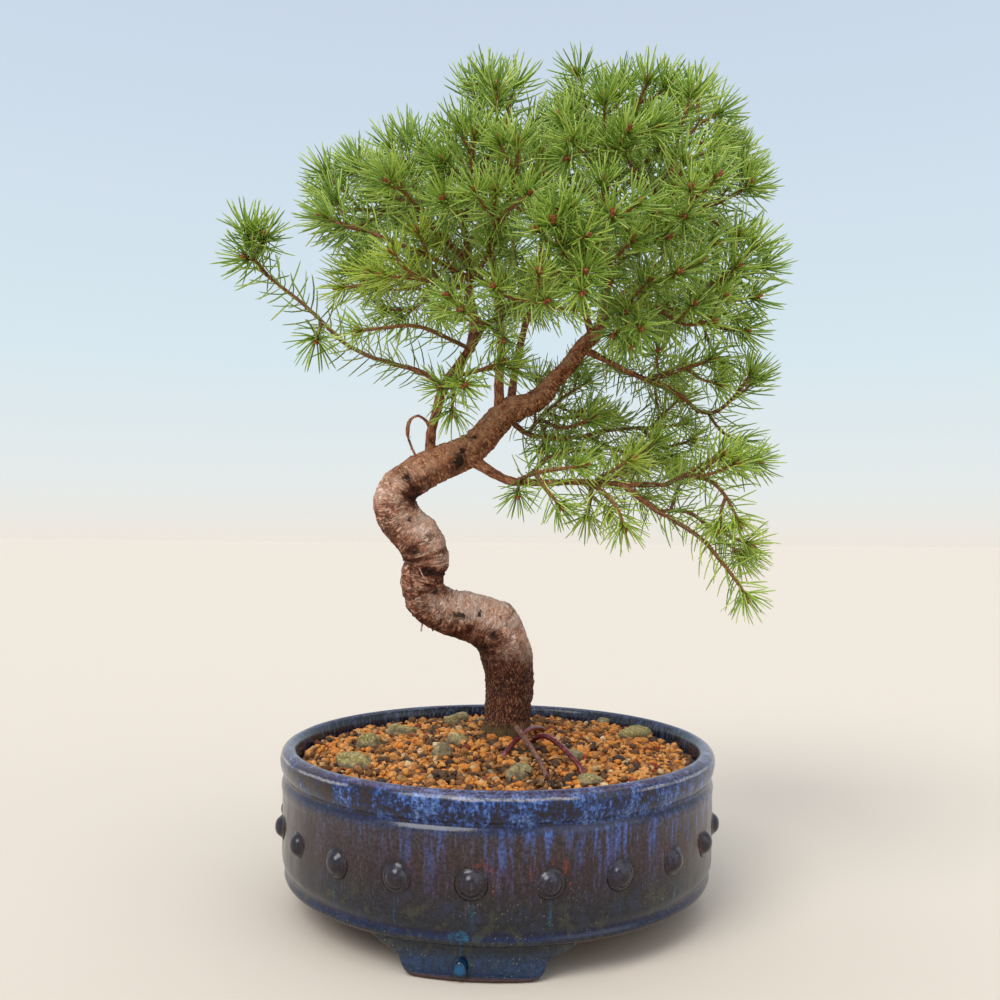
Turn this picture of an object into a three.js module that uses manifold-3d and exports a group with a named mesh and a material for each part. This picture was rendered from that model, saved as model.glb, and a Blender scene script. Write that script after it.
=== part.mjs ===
import * as THREE from 'three'
import { mergeVertices } from 'three/addons/utils/BufferGeometryUtils.js'
import Module from 'manifold-3d'

// A white spruce bonsai in a round blue drum pot. Millimetres, +Z up, the origin on the ground under
// the middle of the pot. The front of the tree faces -Y.

const wasm = await Module()
wasm.setup()

// Driving dimensions of the pot
const POT_RADIUS = 90
const POT_HEIGHT = 64
const WALL = 7
const FLOOR_UNDERSIDE = 12
const FLOOR_TOP = 20
const CORNER_TOP = 30
const WALL_TAPER = 0.8
const CORNER = 8
const FACETS = 42
const STUDS = 21
const STUD_RADIUS = 4.4
const STUD_PROUD = 3
const STUD_HEIGHT = 33.6
const STUD_SEAT = 87.8
const STUD_SUNK = 0.6
const FRONT_AZIMUTH = THREE.MathUtils.degToRad(-5.5)
const FEET = 3
const FOOT_RADIUS = 82
const FOOT_DEPTH = 13
const FOOT_TIERS = [{ width: 66, low: 6.5, high: 13 }, { width: 44, low: 0, high: 7.5 }]
const DRAIN_RADIUS = 8
const DRAIN_OFFSET = 38

// Driving dimensions of what fills it
const CLEAR = 0.3
const SOIL_EDGE = 57
const SOIL_CROWN = 62.5
const SOIL_RINGS = 7
const MOUND_FALL = 3.2
const GRAIN = 1.3
const STONE_SEAT = 1.6
const SCREEN = { side: 26, thick: 1.2, windows: 2, bar: 2.4 }
const WIRE_RADIUS = 1.1
const STICK_RADIUS = 1.2

// Driving dimensions of the wood
const TRUNK_SIDES = 12
const TRUNK_STEP = 8.5
const LIMB_SIDES = 5
const LIMB_STEP = 12
const KNOT_DEPTH = 8

// Driving dimensions of the foliage
const TWIG_RADIUS = 0.9
const TWIG_TAPER = 0.25
const TWIG_BARE = { share: 0.24, least: 10, side: 9 }
const SUNK = { length: 1.6, thick: 0.3 }
const SHOOT = { radius: 0.8, pitch: 30, most: 2, first: 0.42, span: 0.42, least: 14, more: 8, bare: 7 }
const SHOOT_WAY = { ahead: 0.66, aside: 0.75, bend: 0.06 }
const NEEDLE_LENGTH = 15
const NEEDLE_RADIUS = 0.5
const NEEDLE_ROOT = 1.2
const NEEDLE_LEAN = 0.95
const TIP_LEAN = 0.45
const TIP_SPREAD = 0.35
const NEEDLE_GAP = 0.1
const WHORL = 1.3
const WHORL_PITCH = 13
const WHORL_TURN = 0.7
const BUD = 2
const STEM_FRAMES = 60

// The tree is laid out as it is seen from the front, 417 mm from the pot's middle. A place is
// [across, down, back]: its place in a view of 1000 by 1000, and how far it lies behind the pot's middle.
const VIEW = { focal: 973, distance: 417, height: 148, tilt: -0.0415, roll: 0.009, middle: 500 }

// The wood. The last number of each place is the limb's thickness there.
const LIMBS = [
  { name: 'trunk', line: [
    [507, 792, 22, 25], [507, 738, 22, 22.5], [507.5, 716, 22, 20.3], [509.5, 680, 21, 21.6],
    [506.5, 655, 19, 22.6], [495, 629, 16, 23], [467, 616, 12, 21.3], [449, 612, 9, 19.5],
    [430, 602, 6, 18.3], [422.5, 588, 4, 18], [422.5, 575, 2, 18.6], [426, 560, 1, 19.6],
    [420, 541, -1, 20], [407, 527, -2, 18.8], [397.5, 514, -3, 18.2], [394.5, 501, -4, 17.5],
    [399, 489, -4, 16.8], [414, 477, -3, 16], [441, 463, 0, 15.4], [467, 452, 2, 14],
    [483, 438, 3, 12.6], [507, 413, 5, 11.8], [535.5, 401, 5, 9.6], [556, 379, 4, 7.8],
    [574, 358.6, 2, 7], [584.5, 344, 0, 6.4], [599, 330, -2, 5.6], [606, 300, -1, 4.6],
    [604, 262, 4, 4], [601, 225, 8, 3.4], [606, 190, 10, 3], [608, 159, 12, 2.6]] },
  { name: 'left_limb', on: 'trunk', line: [
    [434, 455, -1, 5.8], [435.5, 418, -4, 5.2], [441.6, 391, -7, 4.8], [448, 379, -8, 4.8],
    [462, 360.6, -6, 4], [474, 342, -3, 3.6], [480.4, 330, -1, 3.4], [494, 319.6, 2, 3],
    [520, 301, 6, 2.6], [539, 293, 8, 2.2]] },
  { name: 'left_branch', on: 'left_limb', line: [
    [441, 386, -8, 3.4], [421, 372, -9, 3], [392, 364, -10, 2.8]] },
  { name: 'left_upright', on: 'left_limb', line: [
    [476, 334, -2, 3], [471, 295, -5, 2.8], [467, 254, -7, 2.6], [464, 225, -8, 2.4], [459, 202, -8, 2.2]] },
  { name: 'left_fan', on: 'left_upright', line: [
    [467, 258, -7, 2.4], [445, 241, -12, 2.2], [424, 215, -16, 2.2]] },
  { name: 'left_reach', on: 'left_upright', line: [
    [469, 278, -6, 2.4], [440, 262, -16, 2.2], [410, 248, -24, 2.2]] },
  { name: 'back_left', on: 'left_limb', line: [
    [470, 349, -4, 3], [472, 318, 20, 2.8], [464, 286, 36, 2.4], [450, 255, 50, 2.2]] },
  { name: 'middle_upright', on: 'trunk', line: [
    [501, 420, 4, 4.4], [499, 389, 2, 4], [501, 340, -4, 3.4], [496, 290, -12, 2.8], [489, 240, -20, 2.4]] },
  { name: 'second_upright', on: 'trunk', line: [
    [511, 412, 6, 3.6], [514, 377, 12, 3.4], [524, 330, 18, 3], [537, 285, 22, 2.6],
    [542, 240, 24, 2.4], [538, 205, 24, 2.2]] },
  { name: 'front_limb', on: 'trunk', line: [
    [592, 337, -1, 3.2], [584, 310, -24, 2.8], [576, 285, -40, 2.4], [567, 262, -52, 2.2]] },
  { name: 'right_upper', on: 'trunk', line: [
    [603, 268, 3, 2.8], [624, 247, -10, 2.4], [643, 224, -18, 2.2], [652, 199, -24, 2.2]] },
  { name: 'right_crown', on: 'trunk', line: [
    [602, 240, 6, 2.8], [642, 226, 15, 2.4], [680, 210, 18, 2.2]] },
  { name: 'right_outer', on: 'trunk', line: [
    [605, 302, -1, 3.2], [636, 304, -6, 2.8], [668, 305, -8, 2.4]] },
  { name: 'right_back', on: 'trunk', line: [
    [604, 318, -1, 3], [620, 297, 22, 2.8], [640, 279, 36, 2.4], [660, 262, 48, 2.2]] },
  { name: 'back_upright', on: 'trunk', line: [
    [602, 232, 7, 2.8], [598, 213, 31, 2.4], [590, 190, 43, 2.2]] },
  { name: 'right_long', on: 'trunk', line: [
    [582, 349, 1, 4.2], [615, 364.7, 3, 3.4], [640, 377, 5, 3.2], [664, 385.6, 7, 3],
    [688, 402, 9, 2.6], [699, 413, 10, 2.4]] },
  { name: 'right_middle', on: 'trunk', line: [
    [508, 420, 8, 4], [526, 433, 16, 3.6], [552, 436, 20, 3.2], [588, 435.5, 24, 2.8],
    [606, 425, 27, 2.6], [634, 428, 29, 2.4]] },
  { name: 'right_low', on: 'trunk', line: [
    [468, 458, 0, 6], [493, 473, -8, 5], [511, 481, -11, 4.4], [544, 483, -14, 3.8],
    [574, 482, -17, 3.4], [618.5, 484, -21, 3], [668, 485, -24, 2.6]] },
  { name: 'low_branch', on: 'right_low', line: [
    [622, 485, -21, 2.6], [653, 508, -27, 2.4], [675, 521, -30, 2.2]] },
  { name: 'dead_curl', on: 'left_limb', line: [
    [432, 432, -3, 2], [428, 422, -5, 1.8], [419, 416.7, -6, 1.6], [411, 419, -6, 1.5],
    [408.6, 430, -6, 1.6], [410, 443, -6, 1.6], [417, 459, -5, 2]] },
]

// Knots, scars and cut stubs on the front of the trunk: [across, down, how far it stands out, how wide]
const KNOTS = [
  [509, 607, 1.6, 4], [402, 503, 1.1, 3.2], [411, 520, 1, 3], [458, 458, -1.2, 4],
  [409, 476, 1, 3.4], [424, 595, 1, 4], [421, 628, 1.6, 3], [480, 617, -0.9, 4], [446, 556, 1, 4],
]

// The leafy sprays. Each starts on the limb that bears it. Its first stem carries the others.
const SPRAYS = [
  { name: 'left_tip', on: 'left_branch', stems: [
    [[394, 364, -10], [373.5, 358, -11], [343, 342, -12], [322, 321.6, -12], [302, 303, -12],
      [281.6, 287, -12], [258, 268, -10], [249, 241, -8]],
    [[322, 321.6, -12], [316, 340, -22]]] },
  { name: 'left_lower', on: 'left_limb', stems: [
    [[469, 349, -4], [445, 337, -14], [416, 326, -22], [384, 328, -28], [359, 331, -31]]] },
  { name: 'left_middle', on: 'left_upright', stems: [
    [[471, 292, -5], [440, 282, -8], [415, 278, -10], [390, 279, -12], [363, 285, -14], [341, 288, -15]],
    [[446, 283, -8], [425, 280, -26], [408, 271, -34], [393, 254, -43]]] },
  { name: 'left_outer', on: 'left_reach', stems: [
    [[412, 249, -24], [384, 238, -20], [359, 228, -15], [329, 220, -10]]] },
  { name: 'left_crown', on: 'left_fan', stems: [
    [[432, 226, -14], [404, 214, -2], [375, 210, 6], [347, 208, 10], [325, 192, 12]],
    [[404, 214, -2], [385, 190, 12], [358, 162, 20]]] },
  { name: 'left_crest', on: 'left_fan', stems: [
    [[425, 217, -16], [417, 192, -9], [409, 165, -4], [406, 139, -2]]] },
  { name: 'left_burst', on: 'left_fan', stems: [
    [[427, 219, -15], [408, 197, -31], [391, 176, -40]]] },
  { name: 'back_left_low', on: 'back_left', stems: [
    [[467, 300, 31], [430, 292, 38], [395, 280, 45], [365, 266, 48]],
    [[430, 292, 38], [418, 306, 52], [402, 318, 60]]] },
  { name: 'back_left_high', on: 'back_left', stems: [
    [[451, 257, 49], [425, 235, 57], [398, 215, 62], [372, 196, 64]],
    [[440, 248, 52], [447, 218, 62], [442, 188, 69], [432, 160, 71]]] },
  { name: 'crest_left', on: 'left_upright', stems: [
    [[460, 206, -8], [466, 170, 0], [474, 130, 5], [476, 107, 5], [473, 88, 5]],
    [[464, 184, -4], [456, 172, -13], [444, 161, -18]]] },
  { name: 'upright_burst', on: 'left_upright', stems: [
    [[464, 226, -8], [469, 190, -26], [472, 160, -34], [475, 135, -41]]] },
  { name: 'middle_front', on: 'middle_upright', stems: [
    [[490, 246, -19], [500, 222, -38], [512, 207, -53], [529, 194, -66]]] },
  { name: 'middle_crest', on: 'middle_upright', stems: [
    [[489, 242, -20], [494, 200, -13], [503, 150, -7], [510, 103, -4], [516, 84, -3]]] },
  { name: 'middle_burst', on: 'middle_upright', stems: [
    [[491, 254, -17], [506, 205, -31], [516, 170, -43], [518, 142, -48]]] },
  { name: 'middle_low', on: 'middle_upright', stems: [
    [[498, 306, -9], [515, 301, -33], [531, 300, -53], [546, 301, -71]]] },
  { name: 'middle_left_low', on: 'middle_upright', stems: [
    [[501, 336, -5], [480, 320, -30], [463, 306, -41], [448, 296, -52]]] },
  { name: 'second_top', on: 'second_upright', stems: [
    [[538, 207, 24], [544, 175, 18], [549, 149, 13], [557, 122, 8]],
    [[541, 195, 22], [524, 184, 36], [505, 168, 50]]] },
  { name: 'front_high', on: 'front_limb', stems: [
    [[568, 264, -51], [562, 236, -62], [556, 211, -74]],
    [[564, 248, -58], [575, 243, -71], [586, 236, -77]]] },
  { name: 'front_low', on: 'front_limb', stems: [
    [[577, 288, -38], [580, 277, -60], [585, 271, -77]]] },
  { name: 'top_burst', on: 'trunk', stems: [
    [[605, 196, 10], [602, 178, -14], [590, 158, -33], [570, 140, -52]]] },
  { name: 'leader_tip', on: 'trunk', stems: [
    [[608, 161, 12], [605, 141, 12], [605, 118, 12], [606, 90, 10]],
    [[605, 135, 12], [584, 112, 22], [571, 96, 28]]] },
  { name: 'top_right', on: 'trunk', stems: [
    [[607, 176, 11], [622, 140, 4], [639, 102, -4], [648, 80, -8]]] },
  { name: 'top_right_back', on: 'trunk', stems: [
    [[604, 208, 9], [636, 174, 20], [662, 142, 24], [674, 119, 22], [680, 97, 20]]] },
  { name: 'top_right_outer', on: 'right_upper', stems: [
    [[652, 201, -23], [674, 163, -19], [696, 127, -14], [719, 113, -10]]] },
  { name: 'top_middle', on: 'trunk', stems: [
    [[606, 188, 10], [614, 164, -12], [633, 138, -30], [653, 128, -36]]] },
  { name: 'right_high', on: 'right_crown', stems: [
    [[678, 211, 18], [700, 196, 23], [716, 177, 25], [731, 152, 22]],
    [[690, 203, 21], [712, 205, 10], [730, 196, 1], [744, 187, -4]]] },
  { name: 'right_inner', on: 'right_upper', stems: [
    [[650, 207, -22], [658, 184, -31], [682, 163, -38], [713, 150, -41]]] },
  { name: 'right_burst', on: 'right_upper', stems: [
    [[641, 227, -17], [668, 224, -36], [688, 210, -53], [691, 188, -69]]] },
  { name: 'centre_burst', on: 'trunk', stems: [
    [[604, 276, 2], [597, 258, -30], [599, 238, -53], [612, 214, -76]]] },
  { name: 'centre_right', on: 'right_upper', stems: [
    [[627, 244, -11], [640, 240, -34], [650, 226, -52], [655, 212, -65]]] },
  { name: 'right_tip', on: 'right_outer', stems: [
    [[666, 305, -8], [694, 295, -11], [714, 283, -16], [730, 270, -23], [746, 252, -30]],
    [[694, 295, -11], [716, 300, -14], [736, 300, -18], [754, 297, -22]]] },
  { name: 'right_edge', on: 'right_outer', stems: [
    [[655, 305, -7], [698, 320, 6], [724, 329, 4], [745, 331, -2]]] },
  { name: 'right_front', on: 'right_outer', stems: [
    [[640, 304, -6], [647, 290, -31], [658, 281, -45], [678, 272, -58]]] },
  { name: 'right_front_low', on: 'right_outer', stems: [
    [[650, 304, -7], [668, 316, -28], [686, 325, -36], [711, 321, -45]]] },
  { name: 'leader_drop', on: 'trunk', stems: [
    [[605, 306, -1], [612, 308, -26], [628, 315, -41], [640, 328, -57]]] },
  { name: 'back_right', on: 'right_back', stems: [
    [[659, 263, 47], [684, 241, 57], [704, 216, 60]],
    [[668, 257, 51], [686, 274, 62], [706, 288, 65]],
    [[664, 259, 49], [660, 228, 64], [662, 198, 72]]] },
  { name: 'back_right_low', on: 'right_back', stems: [
    [[634, 284, 31], [640, 300, 48], [652, 316, 64], [668, 330, 72]]] },
  { name: 'back_top', on: 'back_upright', stems: [
    [[591, 192, 42], [572, 166, 50], [556, 142, 53]],
    [[584, 182, 46], [604, 156, 52], [624, 134, 55]]] },
  { name: 'back_middle', on: 'back_upright', stems: [
    [[598, 214, 31], [578, 222, 52], [556, 222, 74]],
    [[582, 221, 48], [598, 240, 65], [610, 258, 77]]] },
  { name: 'second_back', on: 'second_upright', stems: [
    [[536, 288, 22], [518, 270, 43], [502, 250, 65]],
    [[524, 276, 34], [530, 292, 57], [540, 310, 72]]] },
  { name: 'right_long_tip', on: 'right_long', stems: [
    [[697, 411, 10], [713, 413, 8], [732, 399, 2], [751, 374, -6]]] },
  { name: 'right_long_high', on: 'right_long', stems: [
    [[652, 381, 6], [680, 370, -8], [712, 360, -16]]] },
  { name: 'right_long_back', on: 'right_long', stems: [
    [[634, 374, 5], [652, 384, 31], [676, 390, 48]]] },
  { name: 'right_middle_tip', on: 'right_middle', stems: [
    [[632, 428, 29], [658, 428, 28], [683, 423, 26]],
    [[640, 428, 29], [660, 445, 22], [676, 459, 18]]] },
  { name: 'right_middle_back', on: 'right_middle', stems: [
    [[586, 436, 24], [612, 448, 38], [640, 458, 50]]] },
  { name: 'right_low_tip', on: 'right_low', stems: [
    [[666, 485, -24], [694, 470, -25], [716, 458, -26], [756, 461.5, -28]],
    [[686, 475, -25], [712, 482, -31], [728, 500, -34], [738, 522, -36]]] },
  { name: 'low_tip', on: 'low_branch', stems: [
    [[674, 520, -30], [701, 538.5, -31], [720, 560, -32], [740, 586, -34], [746, 597, -35]]] },
  { name: 'low_side', on: 'low_branch', stems: [
    [[658, 511, -28], [688, 512, -17], [708, 526, -12], [726, 543, -9], [744, 554, -8]]] },
  { name: 'low_yellow', on: 'right_low', stems: [
    [[582, 482, -17], [605, 493, -31], [619, 512, -33], [624, 527, -34]],
    [[592, 486, -24], [590, 502, -14], [586, 518, -8]]] },
  { name: 'low_back', on: 'right_low', stems: [
    [[598, 483, -19], [628, 472, 2], [664, 462, 14]]] },
  { name: 'low_inner', on: 'right_low', stems: [
    [[514, 481, -11], [540, 472, -24], [582, 466, -31]],
    [[519, 479, -14], [521, 500, -20]]] },
  { name: 'left_inner', on: 'left_limb', stems: [
    [[450, 377, -8], [474, 372, -20], [502, 362, -30]],
    [[457, 376, -12], [453, 396, -18], [452, 413, -20]]] },
]

// The two tie wires arch over the roots, and the stick leans beside them: [across, down, back]
const WIRES = {
  tie_wire_left: [
    [497, 768, -19], [505, 753.6, -17], [520.5, 736, -8], [533, 728, 6], [545.8, 733, 24], [549, 746, 28]],
  tie_wire_right: [
    [527, 762, 2], [533, 741, 0], [543, 736, -7], [556, 742, -18], [568, 753, -29], [580, 768, -38],
    [584, 786, -41]],
}
const STICK = [[517, 728, -6], [523, 736, -12.8], [530, 746, -21.5], [539, 760, -33], [547, 777, -46]]

// A seeded generator, so that every run draws the same tree
function seeded(seed) {
  let state = seed >>> 0
  return () => {
    state = (Math.imul(state, 1664525) + 1013904223) >>> 0
    return state / 4294967296
  }
}

// A place in the view, as a point of the part
function seen([across, down, back]) {
  const right = across - VIEW.middle
  const below = down - VIEW.middle
  const turn = Math.cos(VIEW.roll)
  const lean = Math.sin(VIEW.roll)
  const level = (right * turn + below * lean) / VIEW.focal
  const rise = (right * lean - below * turn) / VIEW.focal
  const reach = back + VIEW.distance
  const cos = Math.cos(VIEW.tilt)
  const sin = Math.sin(VIEW.tilt)
  const up = reach * (rise * cos - sin) / (cos + rise * sin)
  const depth = reach * cos - up * sin
  return new THREE.Vector3(level * depth, back, VIEW.height + up)
}

// Solids and geometries

// A geometry with one corner wherever several meet
function welded(geometry) {
  const bare = geometry.clone()
  bare.deleteAttribute('normal')
  bare.deleteAttribute('uv')
  return mergeVertices(bare, 1e-4)
}

function toSolid(geometry) {
  const merged = welded(geometry)
  const corners = merged.index.array
  const kept = []
  for (let i = 0; i < corners.length; i += 3) {
    const [a, b, c] = [corners[i], corners[i + 1], corners[i + 2]]
    if (a !== b && b !== c && c !== a) kept.push(a, b, c)
  }
  return new wasm.Manifold(new wasm.Mesh({
    numProp: 3,
    vertProperties: Float32Array.from(merged.attributes.position.array),
    triVerts: Uint32Array.from(kept),
  }))
}

function toGeometry(solid) {
  const mesh = solid.getMesh()
  const geometry = new THREE.BufferGeometry()
  geometry.setAttribute('position', new THREE.BufferAttribute(Float32Array.from(mesh.vertProperties), 3))
  geometry.setIndex(new THREE.BufferAttribute(Uint32Array.from(mesh.triVerts), 1))
  geometry.computeVertexNormals()
  return geometry
}

function joined(solids) {
  let row = solids
  while (row.length > 1) {
    const next = []
    for (let i = 0; i < row.length; i += 2) {
      next.push(i + 1 < row.length ? row[i].add(row[i + 1]) : row[i])
    }
    row = next
  }
  return row[0]
}

function largestBody(solid) {
  return solid.decompose().sort((a, b) => b.volume() - a.volume())[0]
}

function upright(geometry) {
  return geometry.rotateX(Math.PI / 2)
}

// A round bar along a curve, of a thickness that follows it. It is a cylinder bent along the curve.
function bar(curve, radiusAt, sides, steps) {
  const geometry = new THREE.CylinderGeometry(1, 1, 1, sides, steps)
  const frames = curve.computeFrenetFrames(steps, false)
  const corner = geometry.attributes.position
  const point = new THREE.Vector3()
  for (let i = 0; i < corner.count; i++) {
    const share = corner.getY(i) + 0.5
    const ring = Math.round(share * steps)
    const across = corner.getX(i)
    const over = corner.getZ(i)
    const radius = radiusAt(share)
    point.copy(curve.getPointAt(share))
    point.addScaledVector(frames.normals[ring], across * radius)
    point.addScaledVector(frames.binormals[ring], -over * radius)
    corner.setXYZ(i, point.x, point.y, point.z)
  }
  return geometry
}

function smooth(points) {
  const curve = new THREE.CatmullRomCurve3(points, false, 'centripetal')
  curve.arcLengthDivisions = 400
  return curve
}

// The point of a curve that lies nearest to a point
function nearestOn(curve, point) {
  let best = null
  for (const candidate of curve.getSpacedPoints(300)) {
    const gap = candidate.distanceTo(point)
    if (!best || gap < best.gap) best = { gap, point: candidate }
  }
  return best.point
}

// Pot

const INSIDE = POT_RADIUS - WALL

// The pot's outline, [radius, height]: the underside, the lower groove, the wall, the upper groove, the
// lip, and down the inside to the floor
const POT_OUTLINE = [
  [0, FLOOR_UNDERSIDE], [85, FLOOR_UNDERSIDE], [87.8, FLOOR_UNDERSIDE + 2],
  [86.6, 16.2], [88.3, 18],
  [88.8, 49.6], [87.6, 52.6], [89.4, 54.6],
  [POT_RADIUS, 60.4], [POT_RADIUS - 1.6, POT_HEIGHT - 0.8], [POT_RADIUS - 5.2, POT_HEIGHT - 0.4],
  [INSIDE, POT_HEIGHT - 4], [INSIDE - WALL_TAPER, CORNER_TOP], [INSIDE - CORNER, FLOOR_TOP], [0, FLOOR_TOP],
]

// An outline turned about the pot's axis, with a flat facet behind every stud
function turned(outline) {
  const points = outline.map(([radius, height]) => new THREE.Vector2(radius, height))
  return upright(new THREE.LatheGeometry(points, FACETS)).rotateZ(FRONT_AZIMUTH + Math.PI / FACETS)
}

function around(index, count) {
  return FRONT_AZIMUTH - Math.PI / 2 + 2 * Math.PI * index / count
}

function stud(index) {
  const ball = new THREE.SphereGeometry(STUD_RADIUS, 6, 4)
  ball.rotateZ(Math.PI / 2)
  const flatten = (STUD_SUNK + STUD_PROUD) / STUD_RADIUS
  ball.scale(flatten, 1, 1)
  return ball.translate(STUD_SEAT, 0, STUD_HEIGHT).rotateZ(around(index, STUDS))
}

function foot(index) {
  return FOOT_TIERS.map((tier) => {
    const half = tier.width / FOOT_RADIUS / 2
    const outline = new THREE.Shape()
    outline.absarc(0, 0, FOOT_RADIUS, -half, half, false)
    outline.absarc(0, 0, FOOT_RADIUS - FOOT_DEPTH, half, -half, true)
    outline.closePath()
    const block = new THREE.ExtrudeGeometry(outline, {
      depth: tier.high - tier.low, bevelEnabled: false, curveSegments: 2,
    })
    return toSolid(block.translate(0, 0, tier.low).rotateZ(around(index, FEET)))
  })
}

function drain(side) {
  const hole = upright(new THREE.CylinderGeometry(DRAIN_RADIUS, DRAIN_RADIUS, 20, 14))
  return toSolid(hole.translate(side * DRAIN_OFFSET, 0, (FLOOR_UNDERSIDE + FLOOR_TOP) / 2))
}

function pot() {
  const wall = toSolid(turned(POT_OUTLINE))
  const studs = Array.from({ length: STUDS }, (_, index) => toSolid(stud(index)))
  const feet = Array.from({ length: FEET }, (_, index) => foot(index)).flat()
  return joined([wall, ...studs, ...feet]).subtract(drain(-1)).subtract(drain(1))
}

// What lies in the pot

function screenBlock(side, grow) {
  const width = SCREEN.side + 2 * grow
  const height = SCREEN.thick + 2 * grow
  const block = new THREE.BoxGeometry(width, width, height)
  return toSolid(block.translate(side * DRAIN_OFFSET, 0, FLOOR_TOP + CLEAR + SCREEN.thick / 2))
}

function screen(side) {
  const pitch = (SCREEN.side - SCREEN.bar) / SCREEN.windows
  const windows = []
  for (let i = 0; i < SCREEN.windows; i++) {
    for (let j = 0; j < SCREEN.windows; j++) {
      const first = (SCREEN.windows - 1) / 2
      const window = new THREE.BoxGeometry(pitch - SCREEN.bar, pitch - SCREEN.bar, 4)
      window.translate(side * DRAIN_OFFSET + (i - first) * pitch, (j - first) * pitch, FLOOR_TOP + 1)
      windows.push(toSolid(window))
    }
  }
  return screenBlock(side, 0).subtract(joined(windows))
}

// The height of the soil: higher at the trunk, with a step for each grain
function soilHeight(x, y, draw) {
  const trunk = seen(LIMBS[0].line[2])
  const away = Math.hypot(x - trunk.x, y - trunk.y) / POT_RADIUS
  const mound = SOIL_EDGE + (SOIL_CROWN - SOIL_EDGE) * Math.exp(-MOUND_FALL * away * away)
  return mound + GRAIN * (2 * draw() - 1)
}

// Larger mossy stones on the soil: [across, down, length, width, height] as seen on the surface
const STONES = [
  [355, 766, 17, 12, 7], [369, 747, 11, 9, 6], [402, 734, 14, 9, 6], [453, 727, 9, 7, 5],
  [441, 756, 9, 7, 5], [635, 737, 17, 10, 6], [519, 779, 10, 9, 6], [590, 783, 11, 8, 5],
]

// The place on the soil that is seen at a point of the view
function onSoil(across, down) {
  let back = -80
  let point = seen([across, down, back])
  while (point.z > SOIL_EDGE + 2 && back < 80) {
    back += 1
    point = seen([across, down, back])
  }
  return point
}

function stone([across, down, length, width, height]) {
  const lump = new THREE.IcosahedronGeometry(1, 0)
  lump.scale(length / 2, width / 2, height / 2)
  const place = onSoil(across, down)
  return toSolid(lump.translate(place.x, place.y, SOIL_EDGE + STONE_SEAT))
}

function soil(holes) {
  const draw = seeded(41)
  const outside = INSIDE - WALL_TAPER - CLEAR
  const bottom = FLOOR_TOP + CLEAR
  const shoulder = SOIL_EDGE - 2 * GRAIN
  const outline = [[0, bottom], [INSIDE - CORNER - CLEAR, bottom], [outside, CORNER_TOP], [outside, shoulder]]
  const pitch = (outside - CLEAR) / SOIL_RINGS
  for (let ring = SOIL_RINGS; ring >= 0; ring--) outline.push([ring * pitch, SOIL_EDGE])
  const body = welded(turned(outline))
  const corner = body.attributes.position
  for (let i = 0; i < corner.count; i++) {
    if (corner.getZ(i) > shoulder + GRAIN) corner.setZ(i, soilHeight(corner.getX(i), corner.getY(i), draw))
  }
  let solid = joined([toSolid(body), ...STONES.map(stone)])
  for (const hole of holes) solid = solid.subtract(hole)
  return largestBody(solid)
}

// Wood

const limbCurves = {}
const limbRadii = {}

function layLimb({ name, on, line }) {
  const points = line.map(seen)
  if (on) points[0] = nearestOn(limbCurves[on], points[0])
  const curve = smooth(points)
  limbCurves[name] = curve
  const lengths = [0]
  for (let i = 1; i < points.length; i++) lengths.push(lengths[i - 1] + points[i].distanceTo(points[i - 1]))
  const whole = lengths[lengths.length - 1]
  limbRadii[name] = (share) => {
    const along = share * whole
    let i = 1
    while (i < lengths.length - 1 && lengths[i] < along) i++
    const part = THREE.MathUtils.smoothstep(along, lengths[i - 1], lengths[i])
    return THREE.MathUtils.lerp(line[i - 1][3], line[i][3], part) / 2
  }
}

LIMBS.forEach(layLimb)

function limbSolid(name, grow) {
  const curve = limbCurves[name]
  const thick = name === 'trunk'
  const steps = Math.max(2, Math.round(curve.getLength() / (thick ? TRUNK_STEP : LIMB_STEP)))
  const sides = thick ? TRUNK_SIDES : LIMB_SIDES
  const geometry = bar(curve, (share) => limbRadii[name](share) + grow, sides, steps)
  if (thick) raiseKnots(geometry)
  return toSolid(geometry)
}

function raiseKnots(geometry) {
  const corner = geometry.attributes.position
  const point = new THREE.Vector3()
  for (const [across, down, proud, width] of KNOTS) {
    const axis = nearestOn(limbCurves.trunk, seen([across, down, 0]))
    const front = seen([across, down, axis.y - KNOT_DEPTH])
    for (let i = 0; i < corner.count; i++) {
      point.fromBufferAttribute(corner, i)
      const push = proud * Math.exp(-point.distanceToSquared(front) / (width * width))
      const out = point.clone().sub(axis).normalize().multiplyScalar(push)
      corner.setXYZ(i, point.x + out.x, point.y + out.y, point.z + out.z)
    }
  }
}

function wood(grow) {
  return joined(LIMBS.map(({ name }) => limbSolid(name, grow)))
}

// Foliage

// Straight lines that stand for every stem and needle laid so far, each with its thickness
const laid = []

// The least distance between two straight lines, from a to b and from c to d
function gapBetween(a, b, c, d) {
  const first = b.clone().sub(a)
  const second = d.clone().sub(c)
  const between = a.clone().sub(c)
  const aa = first.dot(first)
  const bb = second.dot(second)
  const ab = first.dot(second)
  const pa = first.dot(between)
  const pb = second.dot(between)
  const square = aa * bb - ab * ab
  let along = square > 1e-9 ? THREE.MathUtils.clamp((ab * pb - pa * bb) / square, 0, 1) : 0
  let beside = (ab * along + pb) / bb
  if (beside < 0 || beside > 1) {
    beside = THREE.MathUtils.clamp(beside, 0, 1)
    along = THREE.MathUtils.clamp((ab * beside - pa) / aa, 0, 1)
  }
  return a.clone().addScaledVector(first, along).distanceTo(c.clone().addScaledVector(second, beside))
}

// Whether a straight piece keeps clear of what is laid. Within a spray, only needles keep clear of needles.
function clearOf(from, to, radius, owner, kind) {
  return laid.every((line) => {
    const own = line.owner === owner
    if (own && (kind === 'stem' || line.kind === 'stem')) return true
    const gap = own ? NEEDLE_GAP : 2 * CLEAR
    return gapBetween(from, to, line.from, line.to) >= radius + line.radius + gap
  })
}

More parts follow.
